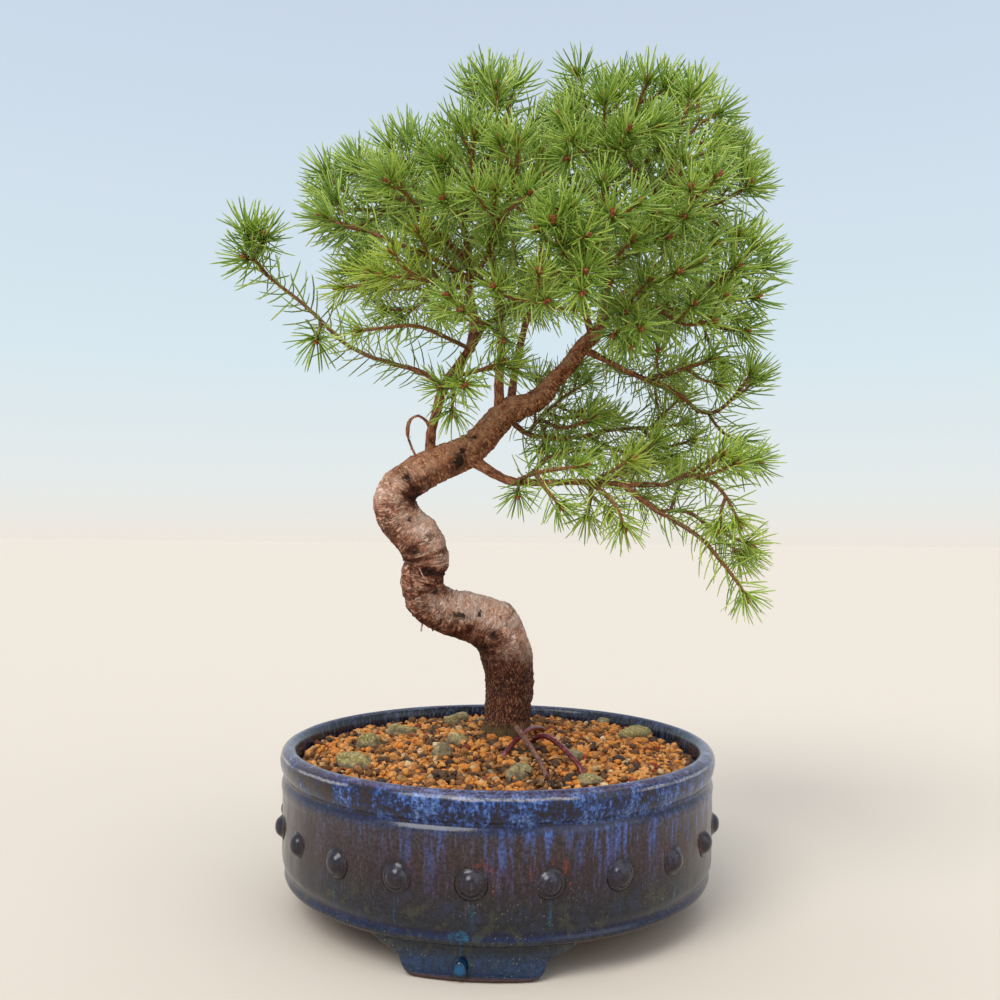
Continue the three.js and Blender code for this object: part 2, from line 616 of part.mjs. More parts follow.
function lay(curve, radiusAt, owner, kind, steps) {
  for (let i = 0; i < steps; i++) {
    laid.push({
      from: curve.getPointAt(i / steps), to: curve.getPointAt((i + 1) / steps),
      radius: radiusAt((i + 0.5) / steps), owner, kind,
    })
  }
}

// A direction square to another, turned about it
function sideways(ahead, angle) {
  const up = Math.abs(ahead.z) > 0.9 ? new THREE.Vector3(1, 0, 0) : new THREE.Vector3(0, 0, 1)
  const level = new THREE.Vector3().crossVectors(ahead, up).normalize()
  return level.applyAxisAngle(ahead, angle)
}

// A stem of three sides with whorls of needles: rings in pairs, one pair for each whorl, the last at its tip
function stemAlong(curve, thick, bare, sunk) {
  const length = curve.getLength()
  const rings = [{ at: 0, radius: sunk ? SUNK.thick * thick : thick }]
  if (sunk) rings.push({ at: SUNK.length, radius: thick })
  const last = length - WHORL
  const whorls = Math.max(0, Math.round((last - bare) / WHORL_PITCH))
  for (let i = 0; i <= whorls; i++) {
    const at = whorls ? bare + (last - bare) * i / whorls : last
    const radius = thick * (1 - TWIG_TAPER * at / length)
    rings.push({ at, radius, whorl: true, tip: i === whorls })
    rings.push({ at: at + WHORL, radius })
  }
  return { curve, length, rings }
}

// The stems of a spray: those read from the view, and shoots that leave them to either side
function stemsOf(spray, draw) {
  const stems = []
  for (const line of spray.stems) {
    const points = line.map(seen)
    points[0] = nearestOn(stems.length ? stems[0].curve : limbCurves[spray.on], points[0])
    const curve = smooth(points)
    const side = stems.length > 0
    const bare = side ? TWIG_BARE.side : Math.max(TWIG_BARE.least, TWIG_BARE.share * curve.getLength())
    stems.push(stemAlong(curve, TWIG_RADIUS, bare, side))
  }
  const shoots = []
  for (const { curve, length } of stems) {
    const count = Math.min(SHOOT.most, Math.floor(length / SHOOT.pitch))
    for (let i = 0; i < count; i++) {
      const share = SHOOT.first + SHOOT.span * (i + 0.3 * draw()) / count
      const root = curve.getPointAt(share)
      const ahead = curve.getTangentAt(share)
      const side = sideways(ahead, 2 * Math.PI * draw())
      const reach = SHOOT.least + SHOOT.more * draw()
      const tip = root.clone().addScaledVector(ahead, SHOOT_WAY.ahead * reach)
      tip.addScaledVector(side, SHOOT_WAY.aside * reach)
      const bend = root.clone().lerp(tip, 0.5).addScaledVector(side, SHOOT_WAY.bend * reach)
      shoots.push(stemAlong(smooth([root, bend, tip]), SHOOT.radius, SHOOT.bare, true))
    }
  }
  return { stems, shoots }
}

// The bare stem, bent along its curve and turned a little from ring to ring
function stemGeometry({ curve, length, rings }) {
  const geometry = new THREE.CylinderGeometry(1, 1, 1, 3, rings.length - 1)
  const frames = curve.computeFrenetFrames(STEM_FRAMES, false)
  const corner = geometry.attributes.position
  const ringOf = []
  for (let i = 0; i < corner.count; i++) {
    const number = Math.round((corner.getY(i) + 0.5) * (rings.length - 1))
    const { at, radius } = rings[number]
    const share = Math.min(1, at / length)
    const frame = Math.round(share * STEM_FRAMES)
    const turn = Math.floor((number + 1) / 2) * WHORL_TURN
    const across = corner.getX(i)
    const over = corner.getZ(i)
    const point = curve.getPointAt(share)
    const onAxis = Math.hypot(across, over) < 0.5
    if (onAxis && number > 0) point.addScaledVector(frames.tangents[frame], BUD)
    const turnedAcross = across * Math.cos(turn) - over * Math.sin(turn)
    const turnedOver = across * Math.sin(turn) + over * Math.cos(turn)
    point.addScaledVector(frames.normals[frame], radius * turnedAcross)
    point.addScaledVector(frames.binormals[frame], -radius * turnedOver)
    corner.setXYZ(i, point.x, point.y, point.z)
    ringOf.push(number)
  }
  geometry.setAttribute('ring', new THREE.Float32BufferAttribute(ringOf, 1))
  return geometry
}

// A stem with its needles drawn out of its faces, each clear of every other spray
function sprig(stem, owner, draw) {
  const merged = welded(stemGeometry(stem))
  const position = merged.attributes.position
  const ringOf = merged.attributes.ring
  const places = Array.from(position.array)
  const faces = []
  const [a, b, c] = [new THREE.Vector3(), new THREE.Vector3(), new THREE.Vector3()]
  for (let i = 0; i < merged.index.count; i += 3) {
    const corners = [0, 1, 2].map((step) => merged.index.getX(i + step))
    const numbers = corners.map((corner) => ringOf.getX(corner))
    const low = Math.min(...numbers)
    const ring = stem.rings[low]
    const between = numbers.some((number) => number === low + 1)
    const upper = numbers.filter((number) => number > low).length === 2
    const grows = ring.whorl && between && (ring.tip || upper === (Math.floor(low / 2) % 2 === 0))
    if (!grows) {
      faces.push(...corners)
      continue
    }
    ;[a, b, c].forEach((vector, step) => vector.fromBufferAttribute(position, corners[step]))
    const root = a.clone().add(b).add(c).divideScalar(3)
    const out = b.clone().sub(a).cross(c.clone().sub(a)).normalize()
    const ahead = stem.curve.getTangentAt(Math.min(1, ring.at / stem.length))
    const tipLean = upper ? TIP_LEAN : TIP_LEAN + TIP_SPREAD
    const lean = (ring.tip ? tipLean : NEEDLE_LEAN) + 0.2 * (draw() - 0.5)
    const way = ahead.clone().multiplyScalar(Math.cos(lean)).addScaledVector(out, Math.sin(lean)).normalize()
    const reach = NEEDLE_LENGTH * (0.9 + 0.2 * draw())
    const tip = root.clone().addScaledVector(way, reach)
    const away = root.clone().addScaledVector(way, NEEDLE_ROOT)
    if (!clearOf(away, tip, NEEDLE_RADIUS, owner, 'needle')) {
      faces.push(...corners)
      continue
    }
    laid.push({ from: away, to: tip, radius: NEEDLE_RADIUS, owner, kind: 'needle' })
    const apex = places.length / 3
    places.push(tip.x, tip.y, tip.z)
    faces.push(corners[0], corners[1], apex, corners[1], corners[2], apex, corners[2], corners[0], apex)
  }
  const drawn = new THREE.BufferGeometry()
  drawn.setAttribute('position', new THREE.Float32BufferAttribute(places, 3))
  drawn.setIndex(faces)
  return toSolid(drawn)
}

function foliage() {
  for (const { name } of LIMBS) lay(limbCurves[name], limbRadii[name], 'wood', 'limb', 40)
  const plans = SPRAYS.map((spray, index) => {
    const draw = seeded(1000 + 17 * index)
    const { stems, shoots } = stemsOf(spray, draw)
    for (const { curve } of stems) lay(curve, () => TWIG_RADIUS, spray.name, 'stem', 10)
    return { name: spray.name, stems, shoots, draw }
  })
  for (const plan of plans) {
    plan.shoots = plan.shoots.filter(({ curve }) => {
      const free = clearOf(curve.getPointAt(0.2), curve.getPointAt(1), TWIG_RADIUS, plan.name, 'stem')
      if (free) lay(curve, () => TWIG_RADIUS, plan.name, 'stem', 3)
      return free
    })
  }
  const outside = wood(CLEAR)
  return plans.map(({ name, stems, shoots, draw }) => {
    const all = [...stems, ...shoots]
    const solids = all.map((stem) => sprig(stem, name, draw))
    return { name: `spray_${name}`, solid: largestBody(joined(solids).subtract(outside)) }
  })
}

// Wires and stick

function wire(line, grow) {
  return toSolid(bar(smooth(line.map(seen)), () => WIRE_RADIUS + grow, 6, 2 * line.length))
}

function stick(grow) {
  const curve = smooth(STICK.map(seen))
  return toSolid(bar(curve, (share) => STICK_RADIUS * (1 - 0.25 * share) + grow, 6, 7))
}

// The part

const group = new THREE.Group()

function show(name, solid, color, roughness) {
  const material = new THREE.MeshStandardMaterial({ color, roughness, metalness: 0 })
  const mesh = new THREE.Mesh(toGeometry(solid), material)
  mesh.name = name
  group.add(mesh)
}

const wireHoles = Object.values(WIRES).map((line) => wire(line, CLEAR))
const soilHoles = [wood(CLEAR), ...wireHoles, stick(CLEAR), screenBlock(-1, CLEAR), screenBlock(1, CLEAR)]

show('pot', pot(), 0x2b3a66, 0.2)
show('soil', soil(soilHoles), 0xb98448, 0.95)
show('drain_screen_left', screen(-1), 0x2a2a2a, 0.6)
show('drain_screen_right', screen(1), 0x2a2a2a, 0.6)
show('trunk_and_limbs', wood(0), 0x7a5644, 0.9)
for (const [name, line] of Object.entries(WIRES)) show(name, wire(line, 0), 0x6d2f2c, 0.35)
show('stick', stick(0), 0x6b4a3a, 0.9)
for (const { name, solid } of foliage()) show(name, solid, 0x4f7d33, 0.55)

export default group
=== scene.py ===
"""A white spruce bonsai in a round drum pot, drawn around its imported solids.

Sizes in the tables are millimetres. Every mesh is scaled to metres when its piece is finished.
"""

import math
import random

import bmesh
import bpy
import numpy as np
from bpy.props import FloatProperty, FloatVectorProperty, PointerProperty
from mathutils import Matrix, Vector, noise


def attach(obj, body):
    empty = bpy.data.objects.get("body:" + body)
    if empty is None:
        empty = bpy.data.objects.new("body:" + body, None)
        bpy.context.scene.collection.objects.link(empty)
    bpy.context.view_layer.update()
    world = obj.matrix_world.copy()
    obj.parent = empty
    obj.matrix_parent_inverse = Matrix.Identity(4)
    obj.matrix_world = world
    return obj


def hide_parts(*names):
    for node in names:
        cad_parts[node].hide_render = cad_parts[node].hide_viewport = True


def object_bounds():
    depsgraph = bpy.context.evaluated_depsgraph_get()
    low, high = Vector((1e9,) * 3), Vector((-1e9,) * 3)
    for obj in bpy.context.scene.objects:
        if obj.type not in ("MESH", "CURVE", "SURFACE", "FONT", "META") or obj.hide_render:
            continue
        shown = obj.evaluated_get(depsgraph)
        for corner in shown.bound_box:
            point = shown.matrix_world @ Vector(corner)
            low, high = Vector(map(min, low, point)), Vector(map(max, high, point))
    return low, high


bl_info = {
    "name": "Spruce Bonsai",
    "version": (1, 0, 0),
    "blender": (4, 5, 0),
    "location": "3D View > Sidebar > Bonsai",
    "description": "Builds a white spruce bonsai in a glazed drum pot",
    "category": "Add Mesh",
}

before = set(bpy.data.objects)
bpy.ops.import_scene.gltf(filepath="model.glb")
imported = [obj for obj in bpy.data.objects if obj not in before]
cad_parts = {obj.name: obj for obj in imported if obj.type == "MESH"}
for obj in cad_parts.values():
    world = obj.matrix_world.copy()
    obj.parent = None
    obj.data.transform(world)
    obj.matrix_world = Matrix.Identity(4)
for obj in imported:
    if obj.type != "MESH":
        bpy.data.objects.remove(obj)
CAD_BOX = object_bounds()

MM = 0.001

# Seeds of the random draws
GRAIN_SEED = 11
ROOT_SEED = 5
PEG_SEED = 77
LIMB_NEEDLE_SEED = 291
SPRAY_SEED = 300
SPRAY_SEED_STEP = 31

GOLDEN_ANGLE = math.radians(137.5)

# The tree is laid out as it is seen from the front, 417 mm from the pot's middle. A place is
# (across, down, back): its place in a view of 1000 by 1000, and how far it lies behind the pot's middle.
VIEW_SIZE = 1000
VIEW_MIDDLE = 500
VIEW_FOCAL = 973
VIEW_DISTANCE = 417
VIEW_HEIGHT = 148
VIEW_TILT = -0.0415
VIEW_ROLL = 0.009
SENSOR = 36

# Sizes of the pot that its solid fixes
POT_RADIUS = 90
POT_HEIGHT = 64
FRONT = math.radians(-90 - 5.5)
STUDS = 21
STUD_HEIGHT = 33.6
STUD_PROUD = 3
STUD_SEAT = 88.75
STUD_STEPS = 22
FEET = 3
FOOT_RADIUS = 82
FOOT_DEPTH = 13
FOOT_PROUD = 4.6
FOOT_LEAN = 0.035
FOOT_TOP = 13
FOOT_ROUNDED_BELOW = 12.8
INSIDE = 83
FLOOR_UNDERSIDE = 12
FLOOR_TOP = 20
FLOOR_REACH = 75
DRAIN_RADIUS = 8
DRAIN_OFFSET = 38
DRAIN_STEPS = 40
WALL_STEPS = 220

# Sizes of the soil that its solid fixes
SOIL_EDGE = 57
SOIL_CROWN = 62.5
MOUND_FALL = 3.2

# The wood. The last number of each place is the limb's thickness there.
LIMBS = {
    "trunk": (None, [
        (507, 792, 22, 25), (507, 738, 22, 22.5), (507.5, 716, 22, 20.3), (509.5, 680, 21, 21.6),
        (506.5, 655, 19, 22.6), (495, 629, 16, 23), (467, 616, 12, 21.3), (449, 612, 9, 19.5),
        (430, 602, 6, 18.3), (422.5, 588, 4, 18), (422.5, 575, 2, 18.6), (426, 560, 1, 19.6),
        (420, 541, -1, 20), (407, 527, -2, 18.8), (397.5, 514, -3, 18.2), (394.5, 501, -4, 17.5),
        (399, 489, -4, 16.8), (414, 477, -3, 16), (441, 463, 0, 15.4), (467, 452, 2, 14),
        (483, 438, 3, 12.6), (507, 413, 5, 11.8), (535.5, 401, 5, 9.6), (556, 379, 4, 7.8),
        (574, 358.6, 2, 7), (584.5, 344, 0, 6.4), (599, 330, -2, 5.6), (606, 300, -1, 4.6),
        (604, 262, 4, 4), (601, 225, 8, 3.4), (606, 190, 10, 3), (608, 159, 12, 2.6)]),
    "left_limb": ("trunk", [
        (425, 458, -1, 4.8), (431, 434, -3, 4), (436.5, 412, -5, 3.9), (442, 392, -7, 4.2),
        (448.5, 379, -8, 4.4), (462, 360.6, -6, 4), (474, 342, -3, 3.6), (480.4, 330, -1, 3.4),
        (494, 319.6, 2, 3), (520, 301, 6, 2.6), (539, 293, 8, 2.2)]),
    "left_branch": ("left_limb", [(441, 386, -8, 2.6), (421, 372, -9, 2.1), (392, 364, -10, 1.9)]),
    "left_upright": ("left_limb", [
        (476, 334, -2, 3), (471, 295, -5, 2.8), (467, 254, -7, 2.6), (464, 225, -8, 2.4),
        (459, 202, -8, 2.2)]),
    "left_fan": ("left_upright", [(467, 258, -7, 2.4), (445, 241, -12, 2.2), (424, 215, -16, 2.2)]),
    "left_reach": ("left_upright", [(469, 278, -6, 2.4), (440, 262, -16, 2.2), (410, 248, -24, 2.2)]),
    "back_left": ("left_limb", [
        (470, 349, -4, 3), (472, 318, 20, 2.8), (464, 286, 36, 2.4), (450, 255, 50, 2.2)]),
    "middle_upright": ("trunk", [
        (501, 420, 4, 4.4), (499, 389, 2, 4), (501, 340, -4, 3.4), (496, 290, -12, 2.8),
        (489, 240, -20, 2.4)]),
    "second_upright": ("trunk", [
        (511, 412, 6, 3.6), (514, 377, 12, 3.4), (524, 330, 18, 3), (537, 285, 22, 2.6),
        (542, 240, 24, 2.4), (538, 205, 24, 2.2)]),
    "front_limb": ("trunk", [
        (592, 337, -1, 3.2), (584, 310, -24, 2.8), (576, 285, -40, 2.4), (567, 262, -52, 2.2)]),
    "right_upper": ("trunk", [
        (603, 268, 3, 2.8), (624, 247, -10, 2.4), (643, 224, -18, 2.2), (652, 199, -24, 2.2)]),
    "right_crown": ("trunk", [(602, 240, 6, 2.8), (642, 226, 15, 2.4), (680, 210, 18, 2.2)]),
    "right_outer": ("trunk", [(605, 302, -1, 3.2), (636, 304, -6, 2.8), (668, 305, -8, 2.4)]),
    "right_back": ("trunk", [
        (604, 318, -1, 3), (620, 297, 22, 2.8), (640, 279, 36, 2.4), (660, 262, 48, 2.2)]),
    "back_upright": ("trunk", [(602, 232, 7, 2.8), (598, 213, 31, 2.4), (590, 190, 43, 2.2)]),
    "right_long": ("trunk", [
        (582, 349, 1, 3.2), (615, 364.7, 3, 2.2), (640, 377, 5, 2), (664, 385.6, 7, 1.9),
        (688, 402, 9, 1.8), (699, 413, 10, 1.8)]),
    "right_middle": ("trunk", [
        (508, 420, 8, 3.2), (526, 433, 16, 2.3), (552, 438, 20, 2), (578, 437, 24, 1.8),
        (604, 431, 27, 1.8), (634, 428, 29, 1.8)]),
    "right_low": ("trunk", [
        (468, 458, 0, 5.6), (493, 473, -8, 4.4), (511, 481, -11, 3.6), (544, 483, -14, 3),
        (574, 482, -17, 2.6), (618.5, 484, -21, 2.3), (668, 485, -24, 2.1)]),
    "low_branch": ("right_low", [(622, 485, -21, 2.2), (653, 508, -27, 2), (675, 521, -30, 1.8)]),
    "dead_curl": ("left_limb", [
        (432, 432, -3, 1.5), (427, 422, -5, 1.2), (419, 416, -6, 1.1), (411, 419, -6, 1.2),
        (407.5, 430, -6, 1.7), (410, 443, -6, 1.1), (417, 459, -5, 1.3)]),
}

# The leafy sprays: the limb that bears each, how bushy it is, how yellow, and its stems. The first stem
# leaves the limb and carries the others.
SPRAYS = {
    "left_tip": ("left_branch", 0.4, 0.2, [
        [(414, 369, -9.5), (394, 364, -10), (373.5, 358, -11), (343, 342, -12), (322, 321.6, -12),
         (302, 303, -12), (281.6, 287, -12), (260, 268, -10), (250, 248, -12), (254, 240, -20)],
        [(254, 257, -11), (262, 245, -17), (264, 236, -22)],
        [(252, 252, -11), (247, 240, -17), (248, 230, -21)],
        [(268, 274, -11), (256, 262, -18), (246, 258, -24)],
        [(322, 321.6, -12), (316, 340, -22)]]),
    "left_lower": ("left_limb", 0.4, 0.4, [
        [(469, 349, -4), (445, 337, -14), (416, 326, -22), (384, 328, -28), (359, 331, -31)]]),
    "left_middle": ("left_upright", 0.8, 0.75, [
        [(471, 292, -5), (440, 282, -8), (415, 278, -10), (390, 279, -12), (363, 285, -14), (341, 288, -15)],
        [(446, 283, -8), (425, 280, -26), (408, 271, -34), (393, 254, -43)]]),
    "left_outer": ("left_reach", 1, 0.2, [
        [(412, 249, -24), (384, 238, -20), (359, 228, -15), (329, 220, -10)]]),
    "left_crown": ("left_fan", 1, 0.2, [
        [(432, 226, -14), (404, 214, -2), (375, 210, 6), (347, 208, 10), (325, 192, 12)],
        [(404, 214, -2), (385, 190, 12), (358, 162, 20)]]),
    "left_crest": ("left_fan", 1, 0.15, [[(425, 217, -16), (417, 192, -9), (409, 165, -4), (406, 139, -2)]]),
    "left_burst": ("left_fan", 1, 0.3, [[(427, 219, -15), (408, 197, -31), (391, 176, -40)]]),
    "back_left_low": ("back_left", 0.8, 0.1, [
        [(467, 300, 31), (430, 292, 38), (395, 280, 45), (365, 266, 48)],
        [(430, 292, 38), (418, 306, 52), (402, 318, 60)]]),
    "back_left_high": ("back_left", 1, 0.1, [
        [(451, 257, 49), (425, 235, 57), (398, 215, 62), (372, 196, 64)],
        [(440, 248, 52), (447, 218, 62), (442, 188, 69), (432, 160, 71)]]),
    "crest_left": ("left_upright", 1, 0.15, [
        [(460, 206, -8), (466, 170, 0), (474, 130, 5), (476, 107, 5), (473, 88, 5)],
        [(464, 184, -4), (456, 172, -13), (444, 161, -18)]]),
    "upright_burst": ("left_upright", 1, 0.2, [
        [(464, 226, -8), (469, 190, -26), (472, 160, -34), (475, 135, -41)]]),
    "middle_front": ("middle_upright", 1, 0.2, [
        [(490, 246, -19), (500, 222, -38), (512, 207, -53), (529, 194, -66)]]),
    "middle_crest": ("middle_upright", 1, 0.1, [
        [(489, 242, -20), (494, 200, -13), (503, 150, -7), (510, 103, -4), (516, 84, -3)]]),
    "middle_burst": ("middle_upright", 1, 0.15, [
        [(491, 254, -17), (506, 205, -31), (516, 170, -43), (518, 142, -48)]]),
    "middle_low": ("middle_upright", 1, 0.35, [
        [(498, 306, -9), (515, 301, -33), (531, 300, -53), (546, 301, -71)]]),
    "middle_left_low": ("middle_upright", 0.8, 0.4, [
        [(501, 336, -5), (480, 320, -30), (463, 306, -41), (448, 296, -52)]]),
    "second_top": ("second_upright", 1, 0.1, [
        [(538, 207, 24), (544, 175, 18), (549, 149, 13), (557, 122, 8)],
        [(541, 195, 22), (524, 184, 36), (505, 168, 50)]]),
    "front_high": ("front_limb", 1, 0.1, [
        [(568, 264, -51), (562, 236, -62), (556, 211, -74)],
        [(564, 248, -58), (575, 243, -71), (586, 236, -77)]]),
    "front_low": ("front_limb", 1, 0.1, [[(577, 288, -38), (580, 277, -60), (585, 271, -77)]]),
    "top_burst": ("trunk", 1, 0.15, [[(605, 196, 10), (602, 178, -14), (590, 158, -33), (570, 140, -52)]]),
    "leader_tip": ("trunk", 1, 0.05, [
        [(608, 161, 12), (605, 141, 12), (605, 118, 12), (606, 90, 10)],
        [(605, 135, 12), (584, 112, 22), (571, 96, 28)]]),
    "top_right": ("trunk", 1, 0.1, [[(607, 176, 11), (622, 140, 4), (639, 102, -4), (648, 80, -8)]]),
    "top_right_back": ("trunk", 1, 0.05, [
        [(604, 208, 9), (636, 174, 20), (662, 142, 24), (674, 119, 22), (680, 97, 20)]]),
    "top_right_outer": ("right_upper", 1, 0.1, [
        [(652, 201, -23), (674, 163, -19), (696, 127, -14), (719, 113, -10)]]),
    "top_middle": ("trunk", 1, 0.1, [[(606, 188, 10), (614, 164, -12), (633, 138, -30), (653, 128, -36)]]),
    "right_high": ("right_crown", 1, 0.1, [
        [(678, 211, 18), (700, 196, 23), (716, 177, 25), (731, 152, 22)],
        [(690, 203, 21), (712, 205, 10), (732, 196, 1), (750, 187, -4)]]),
    "right_inner": ("right_upper", 1, 0.1, [
        [(650, 207, -22), (658, 184, -31), (682, 163, -38), (713, 150, -41)]]),
    "right_burst": ("right_upper", 1, 0.1, [
        [(641, 227, -17), (668, 224, -36), (688, 210, -53), (691, 188, -69)]]),
    "centre_burst": ("trunk", 1, 0.1, [[(604, 276, 2), (597, 258, -30), (599, 238, -53), (612, 214, -76)]]),
    "centre_right": ("right_upper", 1, 0.1, [
        [(627, 244, -11), (640, 240, -34), (650, 226, -52), (655, 212, -65)]]),
    "right_tip": ("right_outer", 1, 0.2, [
        [(666, 305, -8), (694, 295, -11), (714, 283, -16), (734, 266, -22), (755, 246, -26)],
        [(694, 295, -11), (716, 300, -14), (736, 300, -18), (754, 297, -22)]]),
    "right_edge": ("right_outer", 1, 0.25, [
        [(655, 305, -7), (698, 320, 6), (724, 329, 4), (745, 331, -2)]]),
    "right_front": ("right_outer", 1, 0.2, [
        [(640, 304, -6), (647, 290, -31), (658, 281, -45), (678, 272, -58)]]),
    "right_front_low": ("right_outer", 1, 0.3, [
        [(650, 304, -7), (668, 316, -28), (686, 325, -36), (711, 321, -45)]]),
    "leader_drop": ("trunk", 1, 0.3, [[(605, 306, -1), (612, 308, -26), (628, 315, -41), (640, 328, -57)]]),
    "back_right": ("right_back", 0.9, 0.1, [
        [(659, 263, 47), (684, 241, 57), (704, 216, 60)],
        [(668, 257, 51), (686, 274, 62), (706, 288, 65)],
        [(664, 259, 49), (660, 228, 64), (662, 198, 72)]]),
    "back_right_low": ("right_back", 0.9, 0.2, [
        [(634, 284, 31), (640, 300, 48), (652, 316, 64), (668, 330, 72)]]),
    "back_top": ("back_upright", 0.9, 0.1, [
        [(591, 192, 42), (572, 166, 50), (556, 142, 53)],
        [(584, 182, 46), (604, 156, 52), (624, 134, 55)]]),
    "back_middle": ("back_upright", 0.9, 0.15, [
        [(598, 214, 31), (578, 222, 52), (556, 222, 74)],
        [(582, 221, 48), (598, 240, 65), (610, 258, 77)]]),
    "second_back": ("second_upright", 0.9, 0.15, [
        [(536, 288, 22), (518, 270, 43), (502, 250, 65)],
        [(524, 276, 34), (530, 292, 57), (540, 310, 72)]]),
    "right_long_tip": ("right_long", 1, 0.3, [
        [(697, 411, 10), (713, 413, 8), (732, 399, 2), (751, 374, -6)]]),
    "right_long_high": ("right_long", 1, 0.35, [[(652, 381, 6), (680, 370, -8), (712, 360, -16)]]),
    "right_long_back": ("right_long", 0.9, 0.35, [[(634, 374, 5), (652, 384, 31), (676, 390, 48)]]),
    "right_middle_tip": ("right_middle", 1, 0.5, [
        [(632, 428, 29), (658, 428, 28), (683, 423, 26)],
        [(640, 428, 29), (660, 445, 22), (676, 459, 18)]]),
    "right_middle_fill": ("right_middle", 0.6, 0.4, [
        [(528, 434, 16), (546, 412, 29), (568, 394, 40), (588, 382, 48)],
        [(546, 412, 29), (562, 418, 40), (584, 416, 50)],
        [(540, 420, 25), (552, 450, 32), (574, 462, 38)],
        [(540, 420, 25), (564, 428, 10), (592, 418, 2)],
        [(560, 400, 36), (566, 378, 44), (580, 362, 50)]]),
    "left_upright_fill": ("left_upright", 0.5, 0.45, [
        [(472, 300, -5), (468, 262, -7), (464, 225, -8), (459, 202, -8)],
        [(470, 284, -6), (484, 262, -16), (493, 240, -22)],
        [(466, 246, -7), (478, 226, 4), (484, 206, 10)],
        [(469, 272, -6), (454, 252, 4), (446, 232, 12)]]),
    "middle_upright_fill": ("middle_upright", 0.5, 0.45, [
        [(501, 345, -3), (498, 310, -9), (492, 262, -17), (489, 242, -20)],
        [(499, 320, -8), (514, 302, 2), (524, 282, 8)],
        [(496, 290, -12), (478, 276, -2), (470, 262, 6)]]),
    "right_middle_back": ("right_middle", 0.9, 0.4, [[(586, 436, 24), (612, 448, 38), (640, 458, 50)]]),
    "right_low_tip": ("right_low", 0.8, 0.45, [
        [(666, 485, -24), (694, 470, -25), (716, 458, -26), (756, 461.5, -28)],
        [(686, 475, -25), (712, 482, -31), (728, 500, -34), (738, 522, -36)]]),
    "low_tip": ("low_branch", 0.5, 0.45, [
        [(674, 520, -30), (701, 538.5, -31), (720, 560, -32), (740, 586, -34), (746, 597, -35)]]),
    "low_side": ("low_branch", 0.6, 0.45, [
        [(658, 511, -28), (688, 512, -17), (708, 526, -12), (726, 543, -9), (744, 554, -8)]]),
    "low_yellow": ("right_low", 0.6, 0.8, [
        [(582, 482, -17), (605, 493, -31), (619, 512, -33), (624, 527, -34)],
        [(592, 486, -24), (590, 502, -14), (586, 518, -8)]]),
    "low_back": ("right_low", 0.8, 0.5, [[(598, 483, -19), (628, 472, 2), (664, 462, 14)]]),
    "low_inner": ("right_low", 0.5, 0.4, [
        [(514, 481, -11), (540, 472, -24), (582, 466, -31)],
        [(519, 479, -14), (518, 494, -20)],
        [(530, 475, -20), (548, 458, -4), (572, 450, 8), (596, 452, 14)],
        [(536, 474, -22), (549, 492, -28), (560, 506, -30)]]),
    "left_inner": ("left_limb", 0.8, 0.4, [
        [(450, 377, -8), (474, 372, -20), (502, 362, -30)],
        [(457, 376, -12), (453, 396, -18), (452, 413, -20)]]),
}

# Knots and wounds of the trunk: (across, down), how far the ring stands out, its radius, how tall it is for
# its width, how dark it is
KNOTS = [
    ((510, 607), 0.9, 2.6, 1.3, 0.62), ((402, 503), 0.7, 2.4, 0.9, 0.4), ((410, 520), 0.7, 2.6, 0.8, 0.55),
    ((459, 462), -0.4, 3.3, 1.8, 1.0), ((462, 451), -0.3, 2.3, 1.1, 1.0), ((474, 437), -0.3, 2.4, 0.6, 0.9),
    ((407, 477), 0.5, 2.3, 1.0, 0.8), ((398, 471), -0.3, 1.9, 0.4, 0.9), ((427, 610), 1.1, 4.6, 1.2, 0.1),
    ((457, 622), 0.9, 4.6, 0.8, 0.1), ((435, 592), -0.4, 3.2, 0.45, 0.85),
    ((459, 615), -0.4, 4.6, 0.36, 0.85), ((493, 634), -0.3, 2.4, 1.1, 0.9),
    ((480, 614), -0.3, 1.6, 1.3, 0.8), ((429, 535), -0.3, 1.6, 0.8, 0.6), ((391, 534), 0.4, 2.0, 0.8, 0.75),
    ((500, 618), -0.2, 1.2, 0.8, 0.8), ((448, 600), -0.2, 1.0, 1.0, 0.7), ((500, 690), -0.2, 2.0, 1.4, 0.6),
    ((524, 676), -0.2, 1.8, 1.6, 0.7), ((415, 552), -0.4, 3.0, 0.4, 0.7), ((430, 572), -0.5, 3.4, 0.36, 0.8),
]

# Short broken twigs on the trunk: place, direction, thickness, length
STUBS = [
    ((422, 626, 2), (-0.25, -0.5, -1), 0.9, 2.4),
    ((421, 572, -8), (0.5, -0.4, -1), 0.55, 3.4),
]

# Where the trunk's bark is pinched into transverse folds, which also darken it with painted shade: (across,
# down), depth, reach along it
FOLDS = [
    ((408, 548), 0.35, 1.0), ((411, 556), 0.7, 1.3), ((416, 564), 0.8, 1.1), ((424, 571), 0.85, 1.2),
    ((428, 579), 0.6, 1.1), ((424, 588), 0.3, 1.1), ((409, 486), 0.5, 2.0), ((402, 494), 0.3, 1.0),
    ((507, 632), 0.3, 1.3), ((510, 644), 0.3, 1.3),
]

# The two tie wires that arch over the roots, and the stick that leans beside them
WIRES = {
    "tie_wire_left": [
        (497, 768, -19), (505, 753.6, -17), (520.5, 736, -8), (533, 728, 6), (545.8, 733, 24),
        (549, 746, 28)],
    "tie_wire_right": [
        (527, 762, 2), (533, 741, 0), (543, 736, -7), (556, 742, -18), (568, 753, -29), (580, 768, -38),
        (584, 786, -41)],
}
WIRE_RADIUS = 1.1
STICK = [(517, 728, -6), (523, 736, -12.8), (530, 746, -21.5), (539, 760, -33), (547, 777, -46)]

# Where thin roots leave the soil: (across, down)
ROOTS = [(541, 764), (548, 771), (553, 776), (536, 777), (545, 782), (557, 768)]

